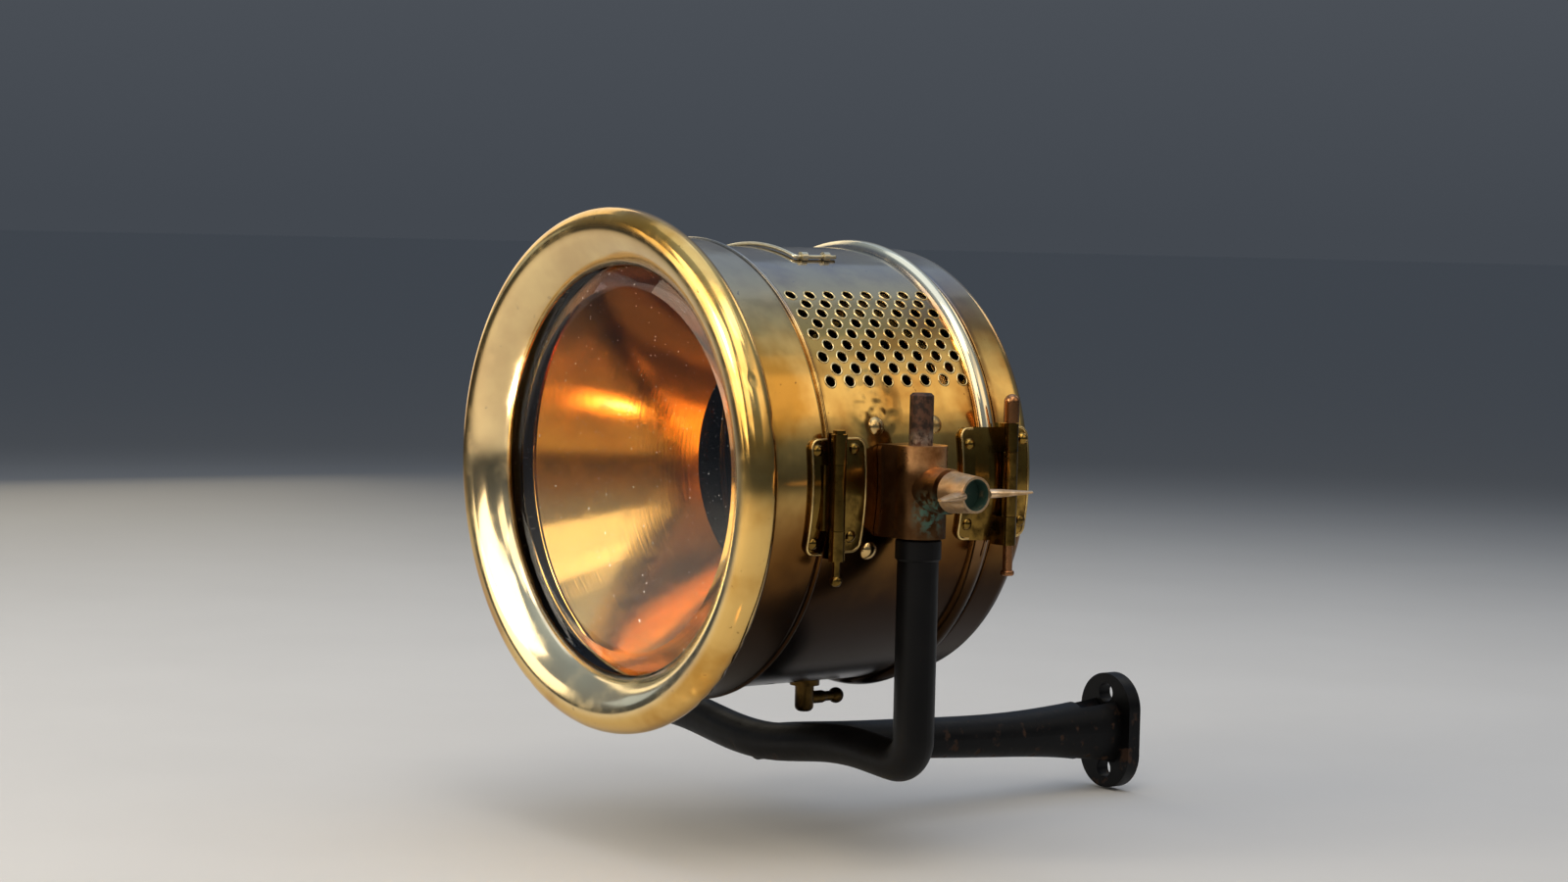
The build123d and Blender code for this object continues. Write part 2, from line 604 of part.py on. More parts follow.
def wing(end_x, side):
    """One tapered wing that stands on the screw's rim and leans outwards along Y."""
    root_y = SCREW_CUP_R + 0.2
    reach = WING_SPAN / 2 - root_y
    places = ((0.0, WING_W / 2, WING_ROOT_T / 2),
              (0.33, WING_W * 0.5, WING_ROOT_T * 0.42),
              (0.67, WING_W * 0.42, WING_ROOT_T * 0.28),
              (1.0, WING_W * 0.16, WING_TIP_T / 2))
    cuts = []
    for share, half_w, half_t in places:
        x = end_x - WING_W * 0.25 + share * (WING_LEAN + WING_W * 0.25)
        plane = Plane(origin=(x, side * (root_y + share * reach), 0), x_dir=(1, 0, 0),
                      z_dir=(0, side, 0))
        cuts.append(plane * Ellipse(half_w, half_t))
    return loft(cuts)


def near_wing_screw():
    """Clamp screw: neck, tapered cupped body and two thin wings on its rim."""
    tip_x = POST_X + POST_PIN_OD / 2 + SEAT
    body_x = POST_X + SOCKET_OD / 2 + BOSS_L + SCREW_STANDOFF
    end_x = body_x + SCREW_BODY_L
    neck = rod((tip_x, POST_Y, CLAMP_Z), SCREW_NECK_R, body_x - tip_x + 1, (1, 0, 0))
    base = Plane(origin=(body_x, POST_Y, CLAMP_Z), x_dir=(0, 1, 0), z_dir=(1, 0, 0))
    body = loft([base * Circle(SCREW_BASE_R), base.offset(SCREW_BODY_L) * Circle(SCREW_END_R)])
    cup = rod((end_x - SCREW_CUP_DEPTH, POST_Y, CLAMP_Z), SCREW_CUP_R, SCREW_CUP_DEPTH + 1, (1, 0, 0))
    wings = Rot(WING_TURN_DEG, 0, 0) * (wing(end_x, -1) + wing(end_x, 1))
    return neck + (body - cup) + wings.translate((0, POST_Y, CLAMP_Z))


def near_post_pin():
    """Steel pin that stands in the fork's post and rises through the lug."""
    low = SOCKET_Z[0] - POST_PIN_SEAT
    pin = rod((POST_X, POST_Y, low), POST_PIN_OD / 2, POST_PIN_TOP_Z - low)
    return chamfer(pin.edges().group_by(Axis.Z)[-1], 1.2)


def fork():
    """Forged fork: two collared posts, tight elbows, a waved crossbar and a boss."""
    post_top = POST_TOP_Z
    bend_z = BEND_Z
    bar_x = BAR_END_X
    sides = []
    for side in (-1, 1):
        x = side * POST_X
        post = rod((x, POST_Y, bend_z), POST_OD / 2, post_top - COLLAR_H - bend_z + 1)
        collar = rod((x, POST_Y, post_top - COLLAR_H), COLLAR_OD / 2, COLLAR_H)
        collar = chamfer(collar.edges(), 1.0)
        ring = Plane(origin=(x, POST_Y, bend_z), z_dir=(0, 0, 1)) * Circle(POST_OD / 2)
        axis = Axis((side * bar_x, POST_Y, bend_z), (0, side, 0))
        elbow = revolve(ring, axis=axis, revolution_arc=90)
        sides.append(post + collar + elbow)
    half = [(1.0, 0.0, POST_OD, POST_OD), *reversed(BAR_STATIONS)]
    middle = (0.0, -BAR_MID_DROP, BAR_MID_W, BAR_MID_H)
    right = [(-share, rise, wide, tall) for share, rise, wide, tall in reversed(half)]
    cuts = []
    for share, rise, wide, tall in [*half, middle, *right]:
        plane = Plane(origin=(-share * bar_x, POST_Y, ELBOW_Z + rise), x_dir=(0, 1, 0),
                      z_dir=(1, 0, 0))
        cuts.append(plane * Ellipse(wide / 2, tall / 2))
    bar = loft(cuts)
    seat = Plane(origin=(0, POST_Y, HUB_Z), z_dir=(0, 1, 0))
    hub = extrude(seat * Circle(HUB_OD / 2), amount=BAR_MID_W / 2 + 2)
    body = sides[0] + sides[1] + bar + hub
    for side in (-1, 1):
        low = SOCKET_Z[0] - POST_PIN_SEAT - SEAT
        body -= rod((side * POST_X, POST_Y, low), POST_PIN_OD / 2 + PIN_FIT, 60)
    return body


def bracket_arm():
    """Arm that thickens from the fork's boss to a tall end on a bolted flange."""
    y0 = POST_Y + BAR_MID_W / 2 + 2
    front_y = FLANGE_BACK_Y - FLANGE_T
    fall = HUB_Z - FLANGE_Z
    places = [(y0, 0.0, ARM_ROOT_OD, ARM_ROOT_OD), *ARM_STATIONS,
              (front_y + 1, 1.0, ARM_END_W, ARM_END_H)]
    cuts = []
    for y, share, wide, tall in places:
        plane = Plane(origin=(0, y, HUB_Z - share * fall), x_dir=(1, 0, 0), z_dir=(0, 1, 0))
        cuts.append(plane * Ellipse(wide / 2, tall / 2))
    bar = loft(cuts)
    face = Plane(origin=(0, front_y, FLANGE_Z), x_dir=(1, 0, 0), z_dir=(0, 1, 0))
    flange = extrude(face * SlotOverall(FLANGE_H, FLANGE_W, rotation=90), amount=FLANGE_T)
    body = bar + flange
    for side in (-1, 1):
        z = FLANGE_Z + side * BOLT_SPACING / 2
        spot = rod((0, front_y - 24, z), BOLT_HOLE_R + 3.5, 24, (0, 1, 0))
        body -= spot
        body -= rod((0, front_y - 14, z), BOLT_HOLE_R, FLANGE_T + 20, (0, 1, 0))
    return body


def gas_inlet():
    """Pipe up through the drum's floor, with a hose nozzle near its foot."""
    top = BURNER_BASE_Z - SEAT
    pipe = rod((0, GAS_Y, GAS_BOTTOM_Z), GAS_PIPE_OD / 2, top - GAS_BOTTOM_Z)
    pipe = fillet(pipe.edges().group_by(Axis.Z)[0], GAS_PIPE_OD * 0.3)
    collar = rod((0, GAS_Y, -DRUM_R - SEAT - GAS_FLANGE_H), GAS_FLANGE_OD / 2, GAS_FLANGE_H + 8)
    collar -= rod((0, GAS_Y - 30, 0), DRUM_R + SEAT, 60, (0, 1, 0))
    profile = make_face(Polyline([
        (0, GAS_Y), (NOZZLE_OD / 2, GAS_Y), (NOZZLE_OD / 2, GAS_Y + NOZZLE_L * 0.45),
        (NOZZLE_NECK_OD / 2, GAS_Y + NOZZLE_L * 0.55), (NOZZLE_NECK_OD / 2, GAS_Y + NOZZLE_L - 5),
        (0, GAS_Y + NOZZLE_L - 5)], close=True))
    stem = revolve(profile, axis=Axis.Y)
    ball = Pos(0, GAS_Y + NOZZLE_L - NOZZLE_BALL_R, 0) * Sphere(NOZZLE_BALL_R)
    nozzle = (stem + ball).translate((0, 0, NOZZLE_Z))
    bore = rod((0, GAS_Y + 6, NOZZLE_Z), NOZZLE_BORE_R, NOZZLE_L, (0, 1, 0))
    return pipe + collar + nozzle - bore


def burner():
    """Lyre burner: a base, a half-round tube and two jet tips."""
    base = rod((0, GAS_Y, BURNER_BASE_Z), BURNER_BASE_OD / 2, BURNER_BASE_H)
    bow_r = BURNER_SPAN / 2
    bow_z = BURNER_BASE_Z + BURNER_BASE_H + bow_r
    section = Plane(origin=(bow_r, GAS_Y, bow_z), z_dir=(0, 0, 1)) * Circle(BURNER_TUBE_R)
    bow = revolve(section, axis=Axis((0, GAS_Y, bow_z), (0, 1, 0)), revolution_arc=180)
    body = base + bow
    for side in (-1, 1):
        x = side * bow_r
        body += rod((x, GAS_Y, bow_z - 0.5), BURNER_TUBE_R, 4)
        body += rod((x, GAS_Y, bow_z + 3), BURNER_TIP_R, BURNER_TIP_L, (-side * 0.55, 0, 0.84))
    return body


def catch_stud(y, top_r):
    """Stud on a small foot on the drum's far side, just under its catch."""
    plane = Plane(origin=(-DRUM_IN_R + STUD_FOOT_R / 2, y, 0), z_dir=(-1, 0, 0))
    foot = extrude(plane * Circle(STUD_FOOT_R), amount=2 * STUD_FOOT_R)
    foot &= rod((0, y - STUD_FOOT_R, 0), LEAF_R + STUD_FOOT_H, 2 * STUD_FOOT_R, (0, 1, 0))
    stem_l = top_r - SEAT - DRUM_IN_R + STUD_FOOT_R / 2
    stem = extrude(plane * Circle(STUD_R), amount=stem_l)
    stem = chamfer(stem.edges().sort_by(Axis.X)[0], STUD_R * 0.3)
    return foot + stem - rod((0, y - 20, 0), LEAF_R, 40, (0, 1, 0))


def catch_tongue(root_y, side, root_r, high_r, stud_y):
    """Spring tongue on a door, with a turned-up tip; side +1 reaches rearwards."""
    t = CATCH_T
    tip_y = stud_y + side * STUD_R * 2.2
    back_y = root_y - side * CATCH_ROOT
    step_y = root_y - side * 0.5
    sheet = [(root_r, back_y), (root_r + t, back_y), (root_r + t, step_y - side * t),
             (high_r + t, step_y + side * 0.2), (high_r + t, tip_y - side * t),
             (high_r + t + CATCH_LIFT, tip_y - side * t), (high_r + t + CATCH_LIFT, tip_y),
             (high_r, tip_y), (high_r, step_y + side * 0.4), (root_r, step_y)]
    if high_r == root_r:
        sheet = [sheet[0], sheet[1]] + sheet[4:8]
    y0, y1 = min(back_y, tip_y), max(back_y, tip_y)
    panel = side_panel(y0, y1, -CATCH_W / 2, CATCH_W / 2, CATCH_W * 0.3)
    return to_far_side(ring_solid(sheet) & panel)


def front_catch_stud():
    """Stud for the front door's catch."""
    return catch_stud(FRONT_STUD_Y, SKIRT_BEAD_R + SEAT)


def rear_catch_stud():
    """Stud for the rear door's catch."""
    return catch_stud(REAR_STUD_Y, BEAD_TOP_R + SEAT)


def front_catch():
    """Spring tongue on the front door's skirt."""
    r = SKIRT_BEAD_R + SEAT
    return catch_tongue(FRONT_SEAM_Y - 1, 1, r, r, FRONT_STUD_Y)


def rear_catch():
    """Spring tongue on the rear door that steps over the drum's bead."""
    return catch_tongue(COVER_Y + 1, -1, LEAF_R, BEAD_TOP_R + SEAT, REAR_STUD_Y)


PIECES = {
    "bezel_ring": bezel_ring,
    "front_glass": front_glass,
    "glass_retainer": glass_retainer,
    "front_hinge_door_leaf": front_hinge_door_leaf,
    "front_catch": front_catch,
    "drum_shell": drum_shell,
    "top_bail": top_bail,
    "front_bail_eye": front_bail_eye,
    "rear_bail_eye": rear_bail_eye,
    "front_catch_stud": front_catch_stud,
    "rear_catch_stud": rear_catch_stud,
    "reflector_cone": reflector_cone,
    "front_hinge_drum_leaf": front_hinge_drum_leaf,
    "front_hinge_pin": front_hinge_pin,
    "rear_hinge_drum_leaf": rear_hinge_drum_leaf,
    "rear_hinge_pin": rear_hinge_pin,
    "near_lug": near_lug,
    "near_wing_screw": near_wing_screw,
    "near_post_pin": near_post_pin,
    "far_lug": lambda: to_far_side(near_lug()),
    "far_wing_screw": lambda: to_far_side(near_wing_screw()),
    "far_post_pin": lambda: to_far_side(near_post_pin()),
    "fork": fork,
    "bracket_arm": bracket_arm,
    "gas_inlet": gas_inlet,
    "burner": burner,
    "rear_cover": rear_cover,
    "rear_hinge_cover_leaf": rear_hinge_cover_leaf,
    "rear_catch": rear_catch,
    "mirror_glass": mirror_glass,
    "mirror_holder": mirror_holder,
}

os.makedirs("parts", exist_ok=True)
TO_MOUNT = (0, -FLANGE_BACK_Y, -FLANGE_Z)
for name, build in PIECES.items():
    solid = build().translate(TO_MOUNT)
    solids = solid.solids()
    print(f"{name}: {len(solids)} solid(s), {sum(s.volume for s in solids):.0f} mm3")
    shape = solids[0] if len(solids) == 1 else Compound(children=list(solids))
    export_step(shape, f"parts/{name}.step")
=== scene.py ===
import logging
import math
from dataclasses import dataclass
from enum import Enum
from typing import Mapping, Optional, Sequence, Union

import bmesh
import bpy
import numpy as np
from mathutils import Matrix, Vector


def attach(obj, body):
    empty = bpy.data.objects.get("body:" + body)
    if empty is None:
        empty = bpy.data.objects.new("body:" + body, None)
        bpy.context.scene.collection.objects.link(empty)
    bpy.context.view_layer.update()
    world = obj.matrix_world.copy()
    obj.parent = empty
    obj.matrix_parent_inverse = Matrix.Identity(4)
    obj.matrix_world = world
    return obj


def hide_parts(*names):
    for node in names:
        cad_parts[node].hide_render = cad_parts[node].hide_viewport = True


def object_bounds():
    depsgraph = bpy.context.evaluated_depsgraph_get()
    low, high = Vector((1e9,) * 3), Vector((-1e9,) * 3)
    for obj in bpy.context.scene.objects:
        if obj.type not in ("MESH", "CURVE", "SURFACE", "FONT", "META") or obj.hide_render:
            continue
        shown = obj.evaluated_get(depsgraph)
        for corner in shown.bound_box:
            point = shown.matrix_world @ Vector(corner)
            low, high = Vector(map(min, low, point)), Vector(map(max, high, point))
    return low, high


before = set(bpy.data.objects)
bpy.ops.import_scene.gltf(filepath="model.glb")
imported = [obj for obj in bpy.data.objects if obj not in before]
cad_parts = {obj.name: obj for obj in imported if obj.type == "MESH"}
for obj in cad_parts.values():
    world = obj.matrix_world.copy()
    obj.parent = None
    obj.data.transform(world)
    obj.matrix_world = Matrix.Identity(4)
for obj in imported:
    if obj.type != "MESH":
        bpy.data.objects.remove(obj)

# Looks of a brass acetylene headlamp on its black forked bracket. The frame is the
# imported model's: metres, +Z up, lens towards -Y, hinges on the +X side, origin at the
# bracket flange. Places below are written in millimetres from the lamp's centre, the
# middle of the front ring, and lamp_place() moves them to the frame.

CAD_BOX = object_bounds()
LOG = logging.getLogger("headlamp")
LAMP_CENTRE = np.array((0.0, -0.333, 0.15005))
DRUM_MIDDLE = np.array((0.0, 80.0, 0.0))
MM = 0.001
MERGE_M = 1e-7
CORNER = 0.1  # distance between the pairs of places that keep a corner crisp


class Side(Enum):
    """Side of the lamp: NEAR carries the hinges, at +X."""

    NEAR = 1.0
    FAR = -1.0


# Places, directions and colours


def lamp_place(points: np.ndarray) -> np.ndarray:
    """Move places from the lamp's own frame to the model's frame.

    Args:
        points: Array (..., 3) in millimetres from the lamp's centre.

    Returns:
        The same places in metres in the model's frame.
    """
    return np.asarray(points, float) * MM + LAMP_CENTRE


def outward(azimuth_deg: float, elevation_deg: float) -> np.ndarray:
    """Unit direction from the object: azimuth 0 in front of the lens, 90 at +X."""
    a, e = math.radians(azimuth_deg), math.radians(elevation_deg)
    return np.array((math.sin(a) * math.cos(e), -math.cos(a) * math.cos(e), math.sin(e)))


def linear(hex_colour: str) -> tuple[float, float, float, float]:
    """Turn an sRGB hex colour into linear light.

    Args:
        hex_colour: Colour such as "#C9A24B".

    Returns:
        Red, green, blue and an alpha of 1.
    """
    srgb = np.array([int(hex_colour[i : i + 2], 16) / 255 for i in (1, 3, 5)])
    low = srgb / 12.92
    high = ((srgb + 0.055) / 1.055) ** 2.4
    red, green, blue = np.where(srgb <= 0.04045, low, high)
    return float(red), float(green), float(blue), 1.0


# Materials: one function that adds a node, fields with their arithmetic, and coats


def add_node(
    tree: bpy.types.NodeTree,
    kind: str,
    settings: Optional[Mapping[str, object]] = None,
    inputs: Optional[Mapping[object, object]] = None,
) -> bpy.types.Node:
    """Add one node with its settings and links.

    Args:
        tree: Node tree that takes the node.
        kind: Blender's node type, such as "ShaderNodeTexNoise".
        settings: Values of the node's own attributes. The key "stops" gives a colour
            ramp's (place, hex colour) pairs.
        inputs: What each input gets, by its name or number: a field or a socket is
            linked to it, and a number, a vector or a hex colour is set on it.

    Returns:
        The new node.
    """
    node = tree.nodes.new(kind)
    for key, value in (settings or {}).items():
        if key == "stops":
            elements = node.color_ramp.elements
            while len(elements) < len(value):
                elements.new(0.5)
            for element, (place, colour) in zip(elements, value):
                element.position, element.color = place, linear(colour)
        else:
            setattr(node, key, value)
    for key, value in (inputs or {}).items():
        socket = getattr(value, "socket", value)
        if isinstance(socket, bpy.types.NodeSocket):
            tree.links.new(socket, node.inputs[key])
        else:
            node.inputs[key].default_value = linear(value) if isinstance(value, str) else value
    return node


Term = Union["Field", float]
Tint = Union["Field", str]


class Field:
    """Something that varies over a surface; sums and products of fields are fields."""

    def __init__(self, tree: bpy.types.NodeTree, socket: bpy.types.NodeSocket) -> None:
        """Hold one output of a node.

        Args:
            tree: The node's tree.
            socket: The output.
        """
        self.tree, self.socket = tree, socket

    def worked(self, operation: str, other: Term = 0.0) -> "Field":
        """Work out one operation on this field.

        Args:
            operation: Blender's math operation.
            other: Second field or number, where the operation has one.

        Returns:
            The result.
        """
        node = add_node(
            self.tree, "ShaderNodeMath", {"operation": operation}, {0: self, 1: other}
        )
        return Field(self.tree, node.outputs[0])

    def __add__(self, other: Term) -> "Field":
        """Sum of this field and another, or a number."""
        return self.worked("ADD", other)

    def __sub__(self, other: Term) -> "Field":
        """This field less another, or less a number."""
        return self.worked("SUBTRACT", other)

    def __mul__(self, other: Term) -> "Field":
        """Product of this field and another, or a number."""
        return self.worked("MULTIPLY", other)

    def most(self, other: "Field") -> "Field":
        """Larger of two fields at each place."""
        return self.worked("MAXIMUM", other)

    def between(self, low: float, high: float) -> "Field":
        """Number that goes from low to high as this mask goes from 0 to 1."""
        return self * (high - low) + low

    def step(self, low: float, high: float) -> "Field":
        """Smooth step of this field.

        Args:
            low: Value that gives 0.
            high: Value that gives 1, above or below low.

        Returns:
            A mask from 0 to 1.
        """
        settings = {"interpolation_type": "SMOOTHSTEP"}
        inputs = {"Value": self, "From Min": low, "From Max": high}
        node = add_node(self.tree, "ShaderNodeMapRange", settings, inputs)
        return Field(self.tree, node.outputs[0])

    def step_mm(self, low: float, high: float) -> "Field":
        """Smooth step of a length, with its limits in millimetres."""
        return self.step(low * MM, high * MM)

    def mix(self, first: Tint, second: Tint) -> "Field":
        """Mix two colours by this mask.

        Args:
            first: Field or hex colour where the mask is 0.
            second: Field or hex colour where the mask is 1.

        Returns:
            The mixed colour.
        """
        inputs = {0: self, 6: first, 7: second}  # 6, 7 and output 2 are its colours
        node = add_node(self.tree, "ShaderNodeMix", {"data_type": "RGBA"}, inputs)
        return Field(self.tree, node.outputs[2])


# How far marks stretch: round the lamp's axis, round a screw along X, and along Z.
ROUND_AXIS = (0.03, 1.0, 0.03)
ROUND_CONE = (0.04, 1.0, 0.04)
ROUND_SCREW = (1.0, 0.08, 0.08)
UPRIGHT = (1.0, 1.0, 0.2)


@dataclass(frozen=True)
class Patches:
    """Soft-edged patches, where noise of about size_mm rises from low to high."""

    size_mm: float
    low: float
    high: float
    detail: float = 3.0


class Coat:
    """One material's node tree, with the places and patterns that finishes share."""

    def __init__(self, name: str) -> None:
        """Start a material.

        Args:
            name: The material's name.
        """
        self.material = bpy.data.materials.new(name)
        self.material.use_nodes = True
        self.tree = self.material.node_tree
        self.tree.nodes.clear()
        coord = add_node(self.tree, "ShaderNodeTexCoord").outputs["Object"]
        moved = {0: coord, 1: tuple(LAMP_CENTRE)}
        shift = add_node(self.tree, "ShaderNodeVectorMath", {"operation": "SUBTRACT"}, moved)
        self.place = Field(self.tree, shift.outputs[0])
        split = add_node(self.tree, "ShaderNodeSeparateXYZ", {}, {0: self.place})
        self.x, self.y, self.z = (Field(self.tree, socket) for socket in split.outputs)

    def grain(
        self, size_mm: float, detail: float = 3.0, stretch: Sequence[float] = (1.0, 1.0, 1.0)
    ) -> Field:
        """Noise whose features are about size_mm, longer where stretch is small.

        Args:
            size_mm: Size of one feature in millimetres.
            detail: Number of finer octaves.
            stretch: Frequency along X, Y and Z against the nominal one.

        Returns:
            A field from 0 to 1.
        """
        spread = add_node(
            self.tree, "ShaderNodeMapping", {}, {"Vector": self.place, "Scale": stretch}
        )
        inputs = {
            "Vector": spread.outputs[0], "Scale": 1 / (size_mm * MM), "Detail": detail,
            "Roughness": 0.55,
        }
        noise = add_node(self.tree, "ShaderNodeTexNoise", {}, inputs)
        return Field(self.tree, noise.outputs["Fac"])

    def patches(self, kind: Patches) -> Field:
        """Mask of one kind of patches."""
        return self.grain(kind.size_mm, kind.detail).step(kind.low, kind.high)

    def ragged(self, size_mm: float, swing_mm: float) -> Field:
        """Length that wanders over swing_mm round 0, to make an edge ragged."""
        return (self.grain(size_mm) - 0.5) * (swing_mm * MM)

    def away(self, spot_mm: Sequence[float]) -> Field:
        """Distance from a spot.

        Args:
            spot_mm: The spot in millimetres from the lamp's centre.

        Returns:
            A length in metres.
        """
        inputs = {0: self.place, 1: tuple(value * MM for value in spot_mm)}
        node = add_node(self.tree, "ShaderNodeVectorMath", {"operation": "DISTANCE"}, inputs)
        return Field(self.tree, node.outputs["Value"])

    def from_axis(self) -> Field:
        """Distance from the lamp's axis."""
        return length_of(self.x, self.z)

    def relief(self, height: Field, depth_mm: float, under: Optional[Field] = None) -> Field:
        """Bump of a 0 to 1 height.

        Args:
            height: The height.
            depth_mm: Depth of its full range in millimetres.
            under: Normal of a coarser relief, if any.

        Returns:
            The normal.
        """
        inputs = {"Strength": 1.0, "Distance": depth_mm * MM, "Height": height}
        if under is not None:
            inputs["Normal"] = under
        return Field(self.tree, add_node(self.tree, "ShaderNodeBump", {}, inputs).outputs[0])

    def finish(self, **inputs: object) -> bpy.types.Material:
        """Add the shader and feed its own sockets.

        Args:
            **inputs: Field, number or hex colour by socket name, with _ for a space.
                What is the same all over the surface is a number or a colour.

        Returns:
            The finished material.
        """
        sockets = {key.replace("_", " "): value for key, value in inputs.items()}
        shader = add_node(self.tree, "ShaderNodeBsdfPrincipled", {}, sockets)
        add_node(self.tree, "ShaderNodeOutputMaterial", {}, {"Surface": shader.outputs[0]})
        return self.material


def length_of(first: Field, second: Field) -> Field:
    """Square root of the sum of two squared lengths."""
    return (first * first + second * second).worked("SQRT")


# Surfaces


def grid_mesh(
    name: str, points: np.ndarray, closed_u: bool = False, closed_v: bool = False
) -> bpy.types.Object:
    """Make one smooth mesh from one or more grids of places.

    Places that fall together, as at a pole, are merged, and faces are then turned
    outwards.

    Args:
        name: The piece's name.
        points: Array (..., rows, columns, 3) in millimetres from the lamp's centre;
            leading dimensions are separate grids of the same size.
        closed_u: True where the last row joins the first.
        closed_v: True where the last column joins the first.

    Returns:
        The new object, at the origin, linked to the scene.
    """
    points = lamp_place(points.reshape(-1, *points.shape[-3:]))
    grids, rows, columns = points.shape[:3]
    row = np.arange(rows if closed_u else rows - 1)[:, None]
    column = np.arange(columns if closed_v else columns - 1)[None, :]
    row_next, column_next = (row + 1) % rows, (column + 1) % columns
    corners = [
        row * columns + column,
        row_next * columns + column,
        row_next * columns + column_next,
        row * columns + column_next,
    ]
    quads = np.stack(np.broadcast_arrays(*corners), -1).reshape(-1, 4)
    offsets = (np.arange(grids) * rows * columns)[:, None, None]
    faces = (quads[None] + offsets).reshape(-1, 4)
    mesh = bpy.data.meshes.new(name)
    mesh.vertices.add(points.size // 3)
    mesh.vertices.foreach_set("co", points.reshape(-1).astype(np.float32))
    mesh.loops.add(faces.size)
    mesh.loops.foreach_set("vertex_index", faces.reshape(-1).astype(np.int32))
    mesh.polygons.add(len(faces))
    mesh.polygons.foreach_set("loop_start", np.arange(0, faces.size, 4, dtype=np.int32))
    mesh.update(calc_edges=True)
    work = bmesh.new()
    work.from_mesh(mesh)
    bmesh.ops.remove_doubles(work, verts=work.verts, dist=MERGE_M)
    bmesh.ops.recalc_face_normals(work, faces=work.faces)
    work.to_mesh(mesh)
    work.free()
    mesh.shade_smooth()
    piece = bpy.data.objects.new(name, mesh)
    bpy.context.scene.collection.objects.link(piece)
    return piece


def around_axis(profile: np.ndarray, turns: int) -> np.ndarray:
    """Carry a profile round the lamp's axis.

    Each place is (radius * cos t, y, radius * sin t) for t from 0 to a full turn.

    Args:
        profile: Array (n, 2) of radius and y in millimetres.
        turns: Number of steps round the axis.

    Returns:
        Array (n, turns, 3) in millimetres from the lamp's centre.
    """
    t = np.linspace(0, 2 * np.pi, turns, endpoint=False)[None, :]
    radius, y = profile[:, :1], profile[:, 1:]
    return np.stack([radius * np.cos(t), y + 0 * t, radius * np.sin(t)], -1)


def hermite(
    start: Sequence[float], start_way: Sequence[float], end: Sequence[float],
    end_way: Sequence[float], steps: int,
) -> np.ndarray:
    """Smooth curve between two places with given directions.

    The cubic whose ends and end directions are given, each direction scaled by the
    straight distance between the ends.

    Args:
        start: First place.
        start_way: Direction at the first place.
        end: Last place.
        end_way: Direction at the last place.
        steps: Number of places.

    Returns:
        Array (steps, 2) of places along the curve.
    """
    p0, p1 = np.array(start, float), np.array(end, float)
    reach = np.linalg.norm(p1 - p0)
    m0 = np.array(start_way, float) / np.linalg.norm(start_way) * reach
    m1 = np.array(end_way, float) / np.linalg.norm(end_way) * reach
    t = np.linspace(0, 1, steps)[:, None]
    return (
        (2 * t**3 - 3 * t**2 + 1) * p0
        + (t**3 - 2 * t**2 + t) * m0
        + (3 * t**2 - 2 * t**3) * p1
        + (t**3 - t**2) * m1
    )


def join_runs(runs: Sequence[np.ndarray]) -> np.ndarray:
    """Join runs of places end to end, leaving out each repeated first place."""
    return np.concatenate([runs[0]] + [run[1:] for run in runs[1:]])


def arc(
    centre: Sequence[float], radius: float, first_deg: float, last_deg: float, steps: int
) -> np.ndarray:
    """Places along an arc in the profile plane.

    Args:
        centre: Radius and y of the arc's centre.
        radius: The arc's own radius.
        first_deg: Angle of the first place, 0 pointing outward and 90 rearward.
        last_deg: Angle of the last place.
        steps: Number of places.

    Returns:
        Array (steps, 2).
    """
    a = np.radians(np.linspace(first_deg, last_deg, steps))
    return np.stack([centre[0] + radius * np.cos(a), centre[1] + radius * np.sin(a)], -1)


def turned_on(
    places: np.ndarray, normals: np.ndarray, profile: np.ndarray, turns: int
) -> np.ndarray:
    """Stand the same turned shape on many places at once.

    A profile of radius and height is carried round each place's normal.

    Args:
        places: Array (k, 3) of the feet in millimetres.
        normals: Array (k, 3) of unit directions.
        profile: Array (n, 2) of radius and height in millimetres.
        turns: Number of steps round each normal.

    Returns:
        Array (k, n, turns, 3) in millimetres.
    """
    helper = np.where(np.abs(normals[:, 1:2]) < 0.9, (0.0, 1.0, 0.0), (1.0, 0.0, 0.0))
    first = np.cross(helper, normals)
    first /= np.linalg.norm(first, axis=1, keepdims=True)
    second = np.cross(normals, first)
    t = np.linspace(0, 2 * np.pi, turns, endpoint=False)
    ring = first[:, None] * np.cos(t)[:, None] + second[:, None] * np.sin(t)[:, None]
    across = ring[:, None] * profile[None, :, 0, None, None]
    along = normals[:, None, None] * profile[None, :, 1, None, None]
    return places[:, None, None] + across + along


def wire_along(
    name: str, middle: np.ndarray, up: np.ndarray, half_width: float, half_height: float,
    turns: int = 18,
) -> bpy.types.Object:
    """Sweep an oval wire along a line that lies on a surface.

    At each place the oval is side * half_width * cos t + up * half_height * sin t,
    where side is square to the line and to the surface's outward direction.

    Args:
        name: The piece's name.
        middle: Array (n, 3) of the wire's middle line in millimetres.
        up: Array (n, 3) of the surface's unit outward directions.
        half_width: Half the wire's width along the surface.
        half_height: Half its height.
        turns: Number of steps round the oval.

    Returns:
        The wire, closed at both ends.
    """
    along = np.gradient(middle, axis=0)
    along /= np.linalg.norm(along, axis=1, keepdims=True)
    side = np.cross(along, up)
    t = np.linspace(0, 2 * np.pi, turns, endpoint=False)[None, :, None]
    oval = side[:, None] * half_width * np.cos(t) + up[:, None] * half_height * np.sin(t)
    ends = np.broadcast_to(middle[[0, -1], None], (2, turns, 3))
    tube = middle[:, None] + oval
    return grid_mesh(name, np.concatenate([ends[:1], tube, ends[1:]]), closed_v=True)


